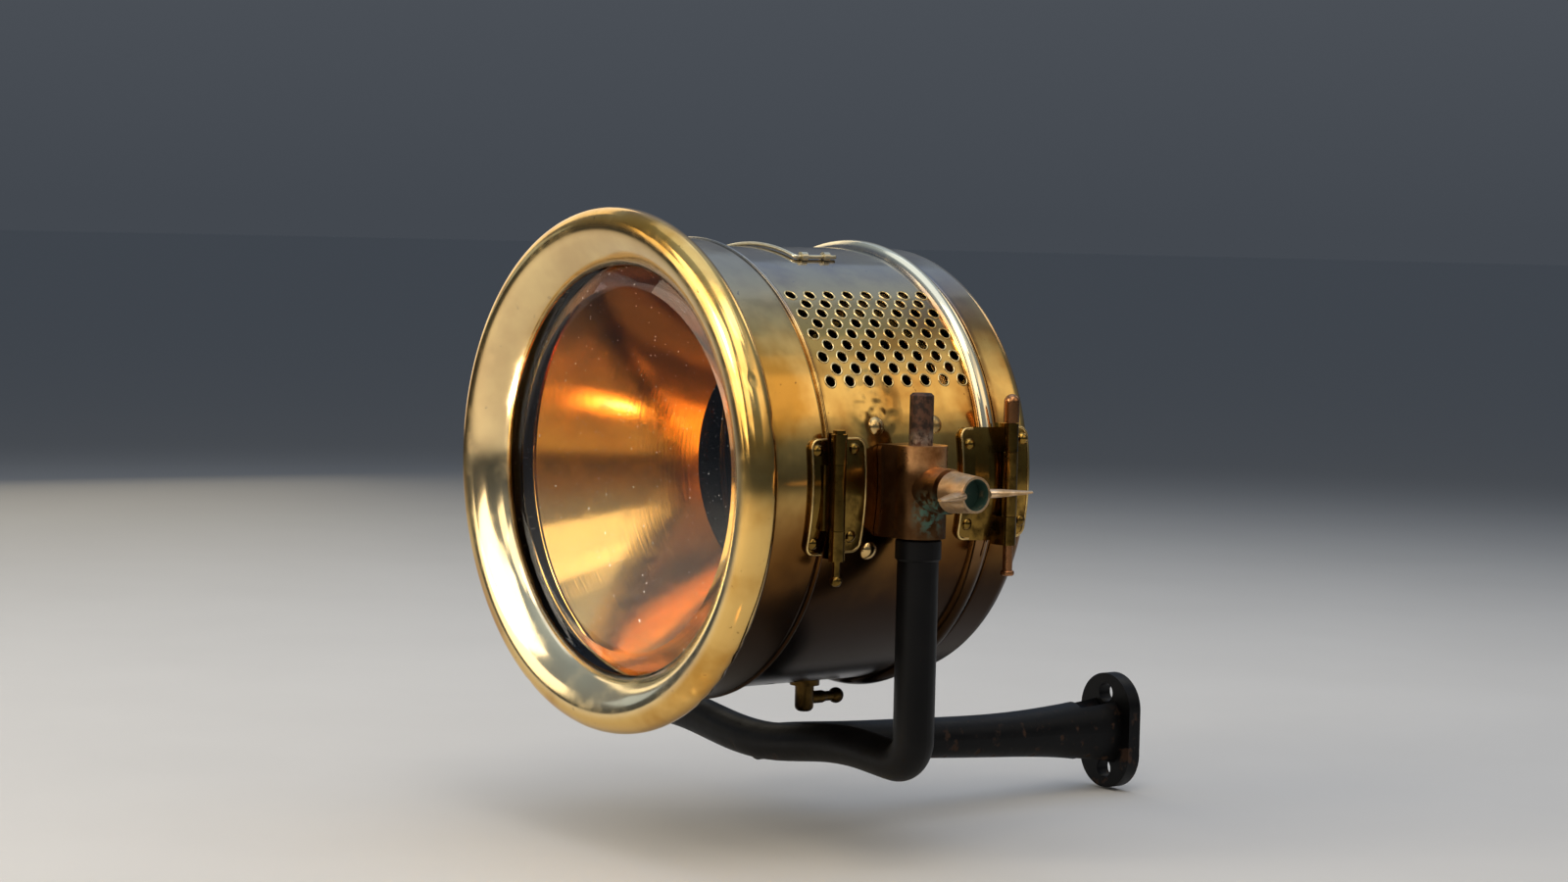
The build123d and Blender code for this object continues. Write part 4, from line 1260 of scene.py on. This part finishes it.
@dataclass
class Studio:
    """Camera of the photograph, pale floor and soft lights."""

    lens_mm: float = 74.0
    film_mm: float = 36.0
    azimuth_deg: float = 52.6
    elevation_deg: float = 4.0
    roll_deg: float = 1.3
    distance: float = 1530.2
    aside: float = 82.2
    above: float = 14.1
    far_clip_m: float = 200.0
    floor_gap: float = 1.0
    floor_rings: tuple[float, ...] = (0.0, 300.0, 900.0, 3000.0, 30000.0)
    floor_middle_y: float = 150.0
    floor_turns: int = 96
    panels: tuple[Panel, ...] = (
        Panel("key_core", -8, 24, 1900, (400, 400), 6.0, "#FFF4E2"),
        Panel("key_halo", -8, 25, 1950, (1500, 1400), 19.0, "#FFF1DC"),
        Panel("panel_low_left", -34, 12, 1900, (950, 800), 4.4, "#FFF1D6"),
        Panel("panel_cool_left", -69, 10, 1900, (480, 340), 0.3, "#C8DCF8"),
        Panel("panel_back", -169, 30, 1700, (460, 420), 0.9, "#FFF0D0"),
        Panel("panel_front_low", 38, 24, 1900, (800, 600), 2.4, "#FFF0D8"),
        Panel("panel_right", 122, 31, 1700, (1000, 500), 0.8, "#FFE6BE"),
        Panel("panel_right_wide", 123, 33, 1730, (1350, 850), 1.1, "#FFE6BE"),
        Panel("panel_right_halo", 124, 35, 1760, (1800, 1300), 1.6, "#F8E8D0"),
        Panel("panel_left", -138, 50, 1800, (1300, 900), 1.0, "#B4CEFA"),
        Panel("panel_far_left", -98, 19, 1900, (1200, 1500), 6.2, "#FFEFCE"),
        Panel("panel_high_right", 80, 66, 1700, (1000, 700), 4.6, "#FFF3E0"),
        Panel("panel_front_right", 54, 46, 1900, (1100, 1000), 6.0, "#FFF0D8"),
        Panel("panel_top", 175, 84, 1500, (1700, 1300), 6.0, "#CCD8EE"),
    )
    snoots: tuple[Snoot, ...] = (
        Snoot("snoot_into_cone", 18.0, 30.0, 0.16, "#FFF6E8"),
        Snoot("snoot_halo", 34.0, 36.0, 0.0016, "#FFD8A0"),
        Snoot("snoot_glow", 60.0, 40.0, 0.0026, "#FFC070"),
    )
    snoot_stand: tuple[float, float, float] = (138.0, -52.0, -150.0)
    snoot_aim: tuple[float, float, float] = (-75.0, 56.0, 27.0)
    sky: tuple[tuple[float, str], ...] = (
        (0.0, "#43484F"), (0.10, "#4D5259"), (0.34, "#787E88"), (0.75, "#8C9CB2"),
        (1.0, "#B2C4DE"),
    )

    def camera(self) -> None:
        """Place the camera where the photograph was taken from."""
        turn, roll = math.radians(self.azimuth_deg), math.radians(self.roll_deg)
        back = outward(self.azimuth_deg, self.elevation_deg)
        flat = np.array((math.cos(turn), math.sin(turn), 0.0))
        upright = np.cross(back, flat)
        right = math.cos(roll) * flat + math.sin(roll) * upright
        up = math.cos(roll) * upright - math.sin(roll) * flat
        matrix = np.eye(4)
        matrix[:3, :3] = np.stack([right, up, back], -1)
        centre = back * self.distance + right * self.aside + up * self.above
        matrix[:3, 3] = lamp_place(centre)
        data = bpy.data.cameras.new("photograph_view")
        data.lens, data.sensor_width = self.lens_mm, self.film_mm
        data.clip_end = self.far_clip_m
        camera = bpy.data.objects.new("photograph_view", data)
        bpy.context.scene.collection.objects.link(camera)
        camera.matrix_world = Matrix(matrix.tolist())
        bpy.context.scene.camera = camera

    def hang(
        self, light: Union[Panel, Snoot], place: np.ndarray, aim: np.ndarray,
        size: tuple[float, float],
    ) -> bpy.types.AreaLight:
        """Hang one area light.

        Args:
            light: Its name, power and tint.
            place: Its place in millimetres from the headlamp's centre.
            aim: Place that it looks at.
            size: Its width and height in millimetres.

        Returns:
            The light's data.
        """
        data = bpy.data.lights.new(light.name, "AREA")
        data.shape = "RECTANGLE"
        data.size, data.size_y = (side * MM for side in size)
        data.energy = light.watts
        data.color = linear(light.colour)[:3]
        holder = bpy.data.objects.new(light.name, data)
        bpy.context.scene.collection.objects.link(holder)
        holder.location = Vector(lamp_place(place))
        holder.rotation_euler = Vector(place - aim).to_track_quat("Z", "Y").to_euler()
        return data

    def lights(self) -> None:
        """Hang the panels round the object, and three small lights into the cone."""
        for panel in self.panels:
            way = outward(panel.azimuth_deg, panel.elevation_deg)
            self.hang(panel, DRUM_MIDDLE + way * panel.distance, DRUM_MIDDLE, panel.size)
        stand, aim = np.array(self.snoot_stand), np.array(self.snoot_aim)
        for snoot in self.snoots:
            data = self.hang(snoot, stand, aim, (snoot.opening, snoot.opening))
            data.spread = math.radians(snoot.beam_deg)

    def surroundings(self) -> None:
        """Soft room light, dim at the horizon and brighter and cooler overhead."""
        world = bpy.data.worlds.new("studio_room")
        bpy.context.scene.world = world
        world.use_nodes = True
        tree = world.node_tree
        tree.nodes.clear()
        coord = add_node(tree, "ShaderNodeTexCoord").outputs["Generated"]
        split = add_node(tree, "ShaderNodeSeparateXYZ", {}, {0: coord})
        ramp = add_node(
            tree, "ShaderNodeValToRGB", {"stops": self.sky}, {0: split.outputs[2]}
        )
        glow = add_node(
            tree, "ShaderNodeBackground", {}, {"Strength": 1.0, "Color": ramp.outputs[0]}
        )
        add_node(tree, "ShaderNodeOutputWorld", {}, {"Surface": glow.outputs[0]})

    def floor(self) -> None:
        """Lay a pale floor under the bracket's lowest point."""
        low = (CAD_BOX[0][2] - LAMP_CENTRE[2]) / MM - self.floor_gap
        reach = np.array(self.floor_rings)[:, None]
        t = np.linspace(0, 2 * np.pi, self.floor_turns, endpoint=False)
        x, y = reach * np.cos(t), reach * np.sin(t) + self.floor_middle_y
        disc = np.stack([x, y, np.full(x.shape, low)], -1)
        piece = grid_mesh("studio_floor", disc, closed_v=True)
        if piece.data.polygons[0].normal.z < 0:
            piece.data.flip_normals()
        piece.data.materials.append(PaleFloor().material())

    def build(self) -> None:
        """Set up the whole studio."""
        self.camera()
        self.lights()
        self.surroundings()
        self.floor()
        bpy.context.scene.view_settings.view_transform = "Standard"
        LOG.info("studio ready")


@dataclass
class FrontDoor:
    """Front ring with its rolled rim, glass, spring ring, hinge leaf and catch.

    The flare's start and turn are offsets from the glass's front edge. The steps are
    the places on lip, hollow, roll, neck, skirt and bead. Each dent is its angle round
    the axis, the radius and y of its middle, its width and its depth.
    """

    sheet: float = 1.4
    glass_r: float = 97.5
    glass_y: float = 5.0
    lip_at: tuple[float, float] = (0.1, -0.25)
    turn_at: tuple[float, float] = (3.9, -6.4)
    lip_way: tuple[float, float] = (0.24, -1.0)
    flare_way: tuple[float, float] = (0.72, -0.7)
    rim_centre: float = 116.0
    rim_r: float = 9.0
    rim_end_deg: float = 55.0
    neck_way: tuple[float, float] = (-0.82, 0.57)
    neck: float = 5.5
    skirt_r: float = 111.0
    skirt_inner_r: float = 109.6
    bead_r: float = 1.1
    bead_in: float = 0.4
    seam_y: float = 45.8
    skirt_short: float = 2.3
    steps: tuple[int, int, int, int, int, int] = (20, 40, 56, 26, 14, 9)
    plate_y: tuple[float, float] = (6.7, 12.7)
    plate_r: float = 105.6
    bevel: float = 10.8
    bevel_out: float = 0.8
    bevel_drop: float = 2.8
    plate_turns: int = 240
    catch_r: float = 113.6
    catch_y: float = 38.2
    turns: int = 420
    leaf: HingeLeaf = HingeLeaf(
        "front_hinge_door", "front_door", (8.5, -13.5), 37.2, 43.0, 33.3, -5.0, 112.8
    )
    dents: tuple[tuple[float, float, float, float, float], ...] = (
        (14.0, 121.8, 6.9, 3.0, 1.1),
        (23.5, 124.6, -2.7, 1.9, 0.6),
        (-33.5, 122.6, 6.1, 2.6, 0.5),
        (-43.0, 123.1, 5.5, 3.2, 0.8),
        (-48.5, 123.4, 5.2, 2.4, 0.6),
        (-54.0, 123.7, 4.6, 2.8, 0.5),
        (-38.0, 123.6, 3.4, 2.4, 0.4),
        (152.0, 109.0, -6.9, 2.0, 0.3),
        (-118.0, 122.0, -5.0, 2.6, 0.3),
        (71.0, 121.0, -7.0, 2.2, 0.25),
        (203.0, 119.0, 10.0, 3.0, 0.6),
    )

    def profile(self) -> np.ndarray:
        """Outline of the ring's section.

        From the glass's lip out along the hollow flare, round the rolled rim, down
        the neck to the skirt, over its bead and back along the inside.

        Returns:
            Array (n, 2) of radius and y.
        """
        glass_r, front, back = self.glass_r, self.glass_y, self.glass_y + self.sheet
        skirt_y, seam_y, inner_r = self.rim_r + self.neck, self.seam_y, self.skirt_inner_r
        lips, hollows, rolls, necks, skirts, beads = self.steps
        start = (glass_r + self.lip_at[0], front + self.lip_at[1])
        turn = (glass_r + self.turn_at[0], front + self.turn_at[1])
        roll = arc((self.rim_centre, 0.0), self.rim_r, -90, self.rim_end_deg, rolls)
        lip = hermite(start, self.lip_way, turn, self.flare_way, lips)
        hollow = hermite(turn, self.flare_way, roll[0], (1.0, 0.0), hollows)
        neck = hermite(roll[-1], self.neck_way, (self.skirt_r, skirt_y), (0.0, 1.0), necks)
        rows = np.linspace(skirt_y, seam_y - self.skirt_short, skirts)
        skirt = np.stack([np.full(skirts, self.skirt_r), rows], -1)
        middle = (self.skirt_r - self.bead_in, seam_y - self.bead_r)
        bead = arc(middle, self.bead_r, -88, 88, beads)
        inside = np.array(
            [
                (inner_r + CORNER, seam_y), (inner_r, seam_y - CORNER),
                (inner_r, back + CORNER), (inner_r - CORNER, back),
                (glass_r + 2 * CORNER, back), (glass_r, back - 2 * CORNER),
                (glass_r, front),
            ]
        )
        tail = np.concatenate([skirt[-1:], bead, inside])
        return join_runs([lip, hollow, roll, neck, skirt, tail])

    def ring(self) -> bpy.types.Object:
        """Spin the ring and press its dents.

        Each dent pushes the wall in by its depth times a bell curve of the distance
        from the dent's middle.

        Returns:
            The ring.
        """
        profile = self.profile()
        along = np.gradient(profile, axis=0)
        along /= np.linalg.norm(along, axis=1, keepdims=True) + 1e-9
        out = np.stack([along[:, 1], -along[:, 0]], -1)
        out *= np.sign(((profile - profile.mean(0)) * out).sum(-1).mean())
        places, ways = around_axis(profile, self.turns), around_axis(out, self.turns)
        angle, radius, y, width, depth = np.array(self.dents).T
        angle = np.radians(angle)
        middles = np.stack([radius * np.cos(angle), y, radius * np.sin(angle)], -1)
        gap = np.linalg.norm(places[:, :, None] - middles, axis=-1)
        push = (depth * np.exp(-((gap / width) ** 2))).sum(-1)
        places = places - ways * push[..., None]
        return grid_mesh("front_ring", places, closed_u=True, closed_v=True)

    def glass(self) -> bpy.types.Object:
        """Grind the plate glass with its wide bevel.

        Flat front out to the bevel, a straight cone back to the edge, the edge and
        the flat back.

        Returns:
            The glass.
        """
        (front, back), edge = self.plate_y, self.plate_r
        outer = self.glass_r + self.bevel_out
        inner, low = outer - self.bevel, front + self.bevel_drop
        slope = self.bevel_drop / self.bevel
        outline = np.array(
            [
                (0.0, front), (inner * 0.6, front), (inner - CORNER, front), (inner, front),
                (inner + CORNER, front + CORNER * slope), (outer, low),
                (edge - CORNER, low), (edge, low + CORNER), (edge, back - CORNER),
                (edge - CORNER, back), (inner, back), (0.0, back),
            ]
        )
        places = around_axis(outline, self.plate_turns)
        return grid_mesh("bevelled_plate_glass", places, closed_v=True)

    def build(self) -> None:
        """Build and dress the door."""
        # Painted shade darkens the ring's rear below, dust with a painted sky reflection lies
        # on its top, and the flare is painted paler low down as a painted highlight.
        brass = SpunBrass(
            "polished_spun_brass_ring", bright="#ECC272", deep="#C4903E", gloss=0.12,
            haze=0.27, wave_mm=0.18, seams=(13.5, 44.6), behind_mm=5.0, dust="#84949A",
            dust_sky_mm=(58.0, 100.0), buffed_r=(119.0, 112.0), inner_r=109.9,
        )
        fit(self.ring(), "front_door", brass.material(), ("bezel_ring",))
        plate = BevelledGlass("ground_bevelled_plate_glass").material()
        fit(self.glass(), "front_door", plate, ("front_glass",))
        sooted = WornBrass("sooted_spring_brass", "#2A2016", "#0C0906", gloss=0.35, haze=0.6)
        dress(["glass_retainer"], sooted.material())
        # Dark brass: painted shade, for the dark surroundings that the front leaf mirrors.
        hinge = leaf_brass("pressed_hinge_brass_front", "#745A28", "#1C1306", 0.9)
        self.leaf.build(hinge, rim_brass("rubbed_pressed_edge_front"))
        trim = WornBrass("drawn_spring_brass_front", brown_share=0.8).material()
        dress(["front_catch"], trim)
        studs = CATCH_HEAD.row(
            "front_catch_rivets", (0.0,), (self.catch_y,), self.catch_r, Side.FAR
        )
        fit(studs, "front_door", trim)


@dataclass
class Drum:
    """Perforated drum with its seams, bail and catches' studs."""

    radius: float = 107.4
    first_deg: float = 25.9
    row_deg: float = 3.37
    first_y: float = 55.3
    pitch_y: float = 11.35
    row_counts: tuple[int, ...] = (8, 7, 8, 7, 8, 7, 8, 7, 8)
    hole_r: float = 2.65
    lip_r: float = 0.5
    lip_rise: float = 0.42
    lip_sunk: float = 0.06
    lip_seat: float = 0.8
    lip_steps: tuple[int, int] = (20, 8)
    seams: tuple[float, ...] = (47.8, 137.2, 148.8)
    bead_r: tuple[float, float] = (108.4, 110.4)
    crumpled: tuple[float, float, float] = (100.4, 77.0, 38.0)
    bail_deg: float = 71.7
    bail_y: tuple[float, float] = (81.0, 105.5)
    bail_wire: float = 1.0
    bail_rise: float = 1.3

    def hole_places(self) -> tuple[np.ndarray, np.ndarray]:
        """Work out the staggered rows of holes.

        Returns:
            Angle in degrees and y of each hole on one side.
        """
        rows = np.repeat(np.arange(len(self.row_counts)), self.row_counts)
        steps = np.concatenate([np.arange(n) for n in self.row_counts])
        angles = self.first_deg + rows * self.row_deg
        return angles, self.first_y + (rows % 2) * self.pitch_y / 2 + steps * self.pitch_y

    def lips(self, side: Side) -> bpy.types.Object:
        """Turned-out lips round the air holes.

        Each is a flattened ring: places at hole_r + lip_r * (lip_seat + cos s) from
        the hole's middle, lip_rise * sin s above the drum less what is sunk in it,
        bent to the drum.

        Args:
            side: NEAR or FAR.

        Returns:
            One piece with all of that side's lips.
        """
        angles, y = self.hole_places()
        turns, sides = self.lip_steps
        t = np.linspace(0, 2 * np.pi, turns, endpoint=False)[None, :, None]
        s = np.linspace(0, 2 * np.pi, sides, endpoint=False)[None, None, :]
        reach = self.hole_r + self.lip_r * (self.lip_seat + np.cos(s))
        lift = self.radius + self.lip_rise * np.sin(s) - self.lip_sunk
        turn = np.radians(angles)[:, None, None] + reach * np.sin(t) / self.radius
        along = y[:, None, None] + reach * np.cos(t)
        places = np.stack(
            [side.value * lift * np.cos(turn), along + 0 * lift, lift * np.sin(turn)], -1
        )
        name = f"air_hole_lips_{side.name.lower()}"
        return grid_mesh(name, places, closed_u=True, closed_v=True)

    def bail(self) -> bpy.types.Object:
        """Bend the top bail from one wire.

        The wire lies on the drum: a rail rearwards on each side, and a leg over the
        top between them, with small rounded bends. Its middle line is given by the
        angle above the horizontal and y, the bends by averaging each place with its
        neighbours.

        Returns:
            The bail.
        """
        rail_steps, leg_steps, rounds = 40, 98, 3
        deg, (near_y, far_y) = self.bail_deg, self.bail_y
        rail = np.linspace(far_y, near_y, rail_steps)
        leg = np.linspace(deg, 180.0 - deg, leg_steps + 2)[1:-1]
        angle = np.concatenate(
            [np.full(rail_steps, deg), leg, np.full(rail_steps, 180.0 - deg)]
        )
        y = np.concatenate([rail, np.full(leg_steps, near_y), rail[::-1]])
        for _ in range(rounds):
            angle[1:-1] = (angle[:-2] + angle[1:-1] + angle[2:]) / 3
            y[1:-1] = (y[:-2] + y[1:-1] + y[2:]) / 3
        middle, up = on_drum(angle, y, self.radius + self.bail_rise, Side.NEAR)
        return wire_along("top_bail_wire", middle, up, self.bail_wire, self.bail_wire)

    def build(self) -> None:
        """Build and dress the drum."""
        # Painted shade darkens the drum's underside, and dust with a painted sky reflection
        # lies on top.
        brass = SpunBrass(
            "polished_spun_brass_drum", bright="#DFB868", deep="#A87634", seams=self.seams,
            rubbed_r=self.bead_r, crumpled_mm=self.crumpled,
        )
        dress(["drum_shell"], brass.material())
        edge = SpunBrass(
            "rubbed_brass_hole_edges", bright="#E6CC92", deep="#BE9850", gloss=0.14,
            wave_mm=0.02, dust_sky_share=0.0,
        ).material()
        for side in Side:
            fit(self.lips(side), "lamp", edge)
        trim = WornBrass(
            "drawn_brass_wire", "#DCD2B4", "#8C8062", gloss=0.3, wave_mm=0.0, scratch_mm=0.0
        ).material()
        fit(self.bail(), "lamp", trim, ("top_bail",))
        dress(["front_bail_eye", "rear_bail_eye", "front_catch_stud", "rear_catch_stud"], trim)


@dataclass
class Hinges:
    """Leaves, rivets and pins of both hinges that stay on the drum."""

    leaves: tuple[HingeLeaf, ...] = (
        HingeLeaf("front_hinge_drum", "lamp", (8.8, -12.8), 61.3, 49.6, 68.4, -5.0),
        HingeLeaf("rear_hinge_drum", "lamp", (9.0, -11.2), 131.2, 134.0, 125.8, -2.0),
    )

    def build(self) -> None:
        """Build and dress the drum's halves of the hinges."""
        # Dark brass: painted shade, for the dark surroundings that these leaves mirror.
        brass = leaf_brass("pressed_hinge_brass", "#7E632E", "#1E1506", 0.9)
        rim = rim_brass("rubbed_pressed_edge")
        for leaf in self.leaves:
            leaf.build(brass, rim)
        dress(["front_hinge_pin"], brass)
        pin = WornBrass("copper_brown_drawn_pin", "#9C6C46", "#4E2E18", gloss=0.24)
        dress(["rear_hinge_pin"], pin.material())


@dataclass
class Lug:
    """One cast socket lug with its rivets, post pin and wing screw."""

    side: Side
    face_r: float = 107.4
    rivet_deg: tuple[float, ...] = (14.3, 14.3, -17.2, -17.2)
    rivet_y: tuple[float, ...] = (77.0, 111.8, 75.4, 111.8)
    head: RivetHead = LUG_HEAD

    def build(self) -> None:
        """Build and dress the lug and what it holds."""
        word = self.side.name.lower()
        for node, finish in (
            ("lug", CastBronze(f"sand_cast_bronze_{word}", self.side)),
            ("wing_screw", DullScrewMetal(f"turned_dull_bronze_{word}", self.side)),
            ("post_pin", RustedSteel(f"rusted_turned_steel_{word}")),
        ):
            dress([f"{word}_{node}"], finish.material())
        heads = self.head.row(
            f"{word}_lug_rivets", self.rivet_deg, self.rivet_y, self.face_r, self.side
        )
        brass = WornBrass(f"brass_rivet_heads_{word}", bright="#CFAE74", brown_share=0.6)
        fit(heads, "lamp", brass.material())


@dataclass
class Bracket:
    """Forged fork and arm."""

    nodes: tuple[str, ...] = ("fork", "bracket_arm")

    def build(self) -> None:
        """Dress the bracket."""
        dress(self.nodes, BlackPaint("brushed_black_enamel").material())


@dataclass
class GasWorks:
    """Gas pipe with its hose nozzle, and the burner inside."""

    pipe: str = "gas_inlet"
    burner: str = "burner"

    def build(self) -> None:
        """Dress the gas pipe and the burner."""
        smoked = WornBrass("smoked_gas_brass", "#54401F", "#1A120A", 0.95, gloss=0.34)
        dress([self.pipe], smoked.material())
        dress([self.burner], BurnerBrassAndStone("burner_brass_and_soapstone").material())


@dataclass
class Optics:
    """Reflector cone and the mirror behind the flame."""

    cone: str = "reflector_cone"
    mirror: str = "mirror_glass"
    holder: str = "mirror_holder"

    def build(self) -> None:
        """Dress the reflector and the mirror."""
        dress([self.cone], HeatedCopperBrass("heat_tinted_spun_copper_brass").material())
        dress([self.mirror], SilveredGlass("silvered_mirror_glass").material())
        dress([self.holder], WornBrass("pressed_brass_holder").material())


@dataclass
class RearDoor:
    """Pressed rear cover with its hinge leaf and catch.

    The joggle is where the wall steps in to the lip, measured from the seat. The
    steps are the places on edge, crown and wall.
    """

    outer_r: float = 107.4
    sheet: float = 1.4
    seat_y: float = 149.9
    edge_r: float = 8.0
    edge_y: float = 164.9
    edge_deg: float = 84.24
    lip_r: float = 105.9
    lip_y: float = 143.9
    joggle: tuple[float, float] = (3.0, 4.0)
    steps: tuple[int, int, int] = (24, 48, 12)
    turns: int = 240
    seam_y: float = 150.6
    catch_r: float = 109.3
    catch_y: float = 157.4
    leaf: HingeLeaf = HingeLeaf(
        "rear_hinge_cover", "rear_door", (10.0, -11.0), 164.6, 153.0, 168.1, -2.0
    )

    def profile(self) -> np.ndarray:
        """Outline of the pressed cover's section.

        The wall runs back from its seat, turns in over the rounded edge and meets
        the crowned back without a crease: edge and crown share one tangent at
        edge_deg. The inside follows at the sheet's thickness down to the lip.

        Returns:
            Array (n, 2) of radius and y, from pole to pole.
        """
        corners, crowns, walls = self.steps
        turn = math.radians(self.edge_deg)
        middle = (self.outer_r - self.edge_r, self.edge_y)
        runs = []
        for inset in (0.0, self.sheet):
            corner = arc(middle, self.edge_r - inset, 0, self.edge_deg, corners)
            ball = corner[-1, 0] / math.cos(turn)
            lean = np.linspace(math.pi / 2 - turn, 0.0, crowns)[1:]
            rise = corner[-1, 1] + ball * (np.cos(lean) - math.sin(turn))
            runs.append(np.concatenate([corner, np.stack([ball * np.sin(lean), rise], -1)]))
        outer, inner = runs
        wall_r, lip_r, seat_y, lip_y = self.outer_r, self.lip_r, self.seat_y, self.lip_y
        wall_in, lip_in = wall_r - self.sheet, lip_r - self.sheet
        foot = np.array(
            [
                (wall_in, self.edge_y - CORNER), (wall_in, seat_y + self.joggle[1]),
                (lip_in, seat_y + self.joggle[0]), (lip_in, lip_y + CORNER),
                (lip_in + CORNER, lip_y), (lip_r - CORNER, lip_y), (lip_r, lip_y + CORNER),
                (lip_r, seat_y - CORNER), (lip_r + CORNER, seat_y), (wall_r - CORNER, seat_y),
            ]
        )
        rows = np.linspace(seat_y + CORNER, self.edge_y, walls)[:-1]
        wall = np.stack([np.full(len(rows), wall_r), rows], -1)
        return np.concatenate([inner[::-1], foot, wall, outer])

    def cover(self) -> bpy.types.Object:
        """Press the rear cover round the axis."""
        places = around_axis(self.profile(), self.turns)
        return grid_mesh("pressed_rear_cover", places, closed_v=True)

    def build(self) -> None:
        """Build and dress the rear door."""
        # Painted shade darkens the cover's underside, and dust with a painted sky reflection
        # lies on top.
        brass = SpunBrass(
            "polished_pressed_brass_cover", bright="#DAB468", deep="#A87838", gloss=0.12,
            haze=0.26, inner_r=0.0, seams=(self.seam_y,),
        )
        fit(self.cover(), "rear_door", brass.material(), ("rear_cover",))
        # Brighter than the other leaves: a lit copy of the same brass, as painted light.
        hinge = leaf_brass("pressed_hinge_brass_rear", "#A4803C", "#2E200C", 0.85)
        self.leaf.build(hinge, rim_brass("rubbed_pressed_edge_rear"))
        trim = WornBrass("drawn_spring_brass_rear", brown_share=0.7).material()
        dress(["rear_catch"], trim)
        studs = CATCH_HEAD.row(
            "rear_catch_rivets", (0.0,), (self.catch_y,), self.catch_r, Side.FAR
        )
        fit(studs, "rear_door", trim)


def main() -> None:
    """Build the studio and every sub-assembly in order."""
    logging.basicConfig(level=logging.INFO, format="%(name)s: %(message)s")
    for part in (
        Studio(), FrontDoor(), Drum(), Hinges(), Lug(Side.NEAR), Lug(Side.FAR), Bracket(),
        GasWorks(), Optics(), RearDoor(),
    ):
        part.build()
        LOG.info("%s done", type(part).__name__)


if __name__ == "__main__":
    main()
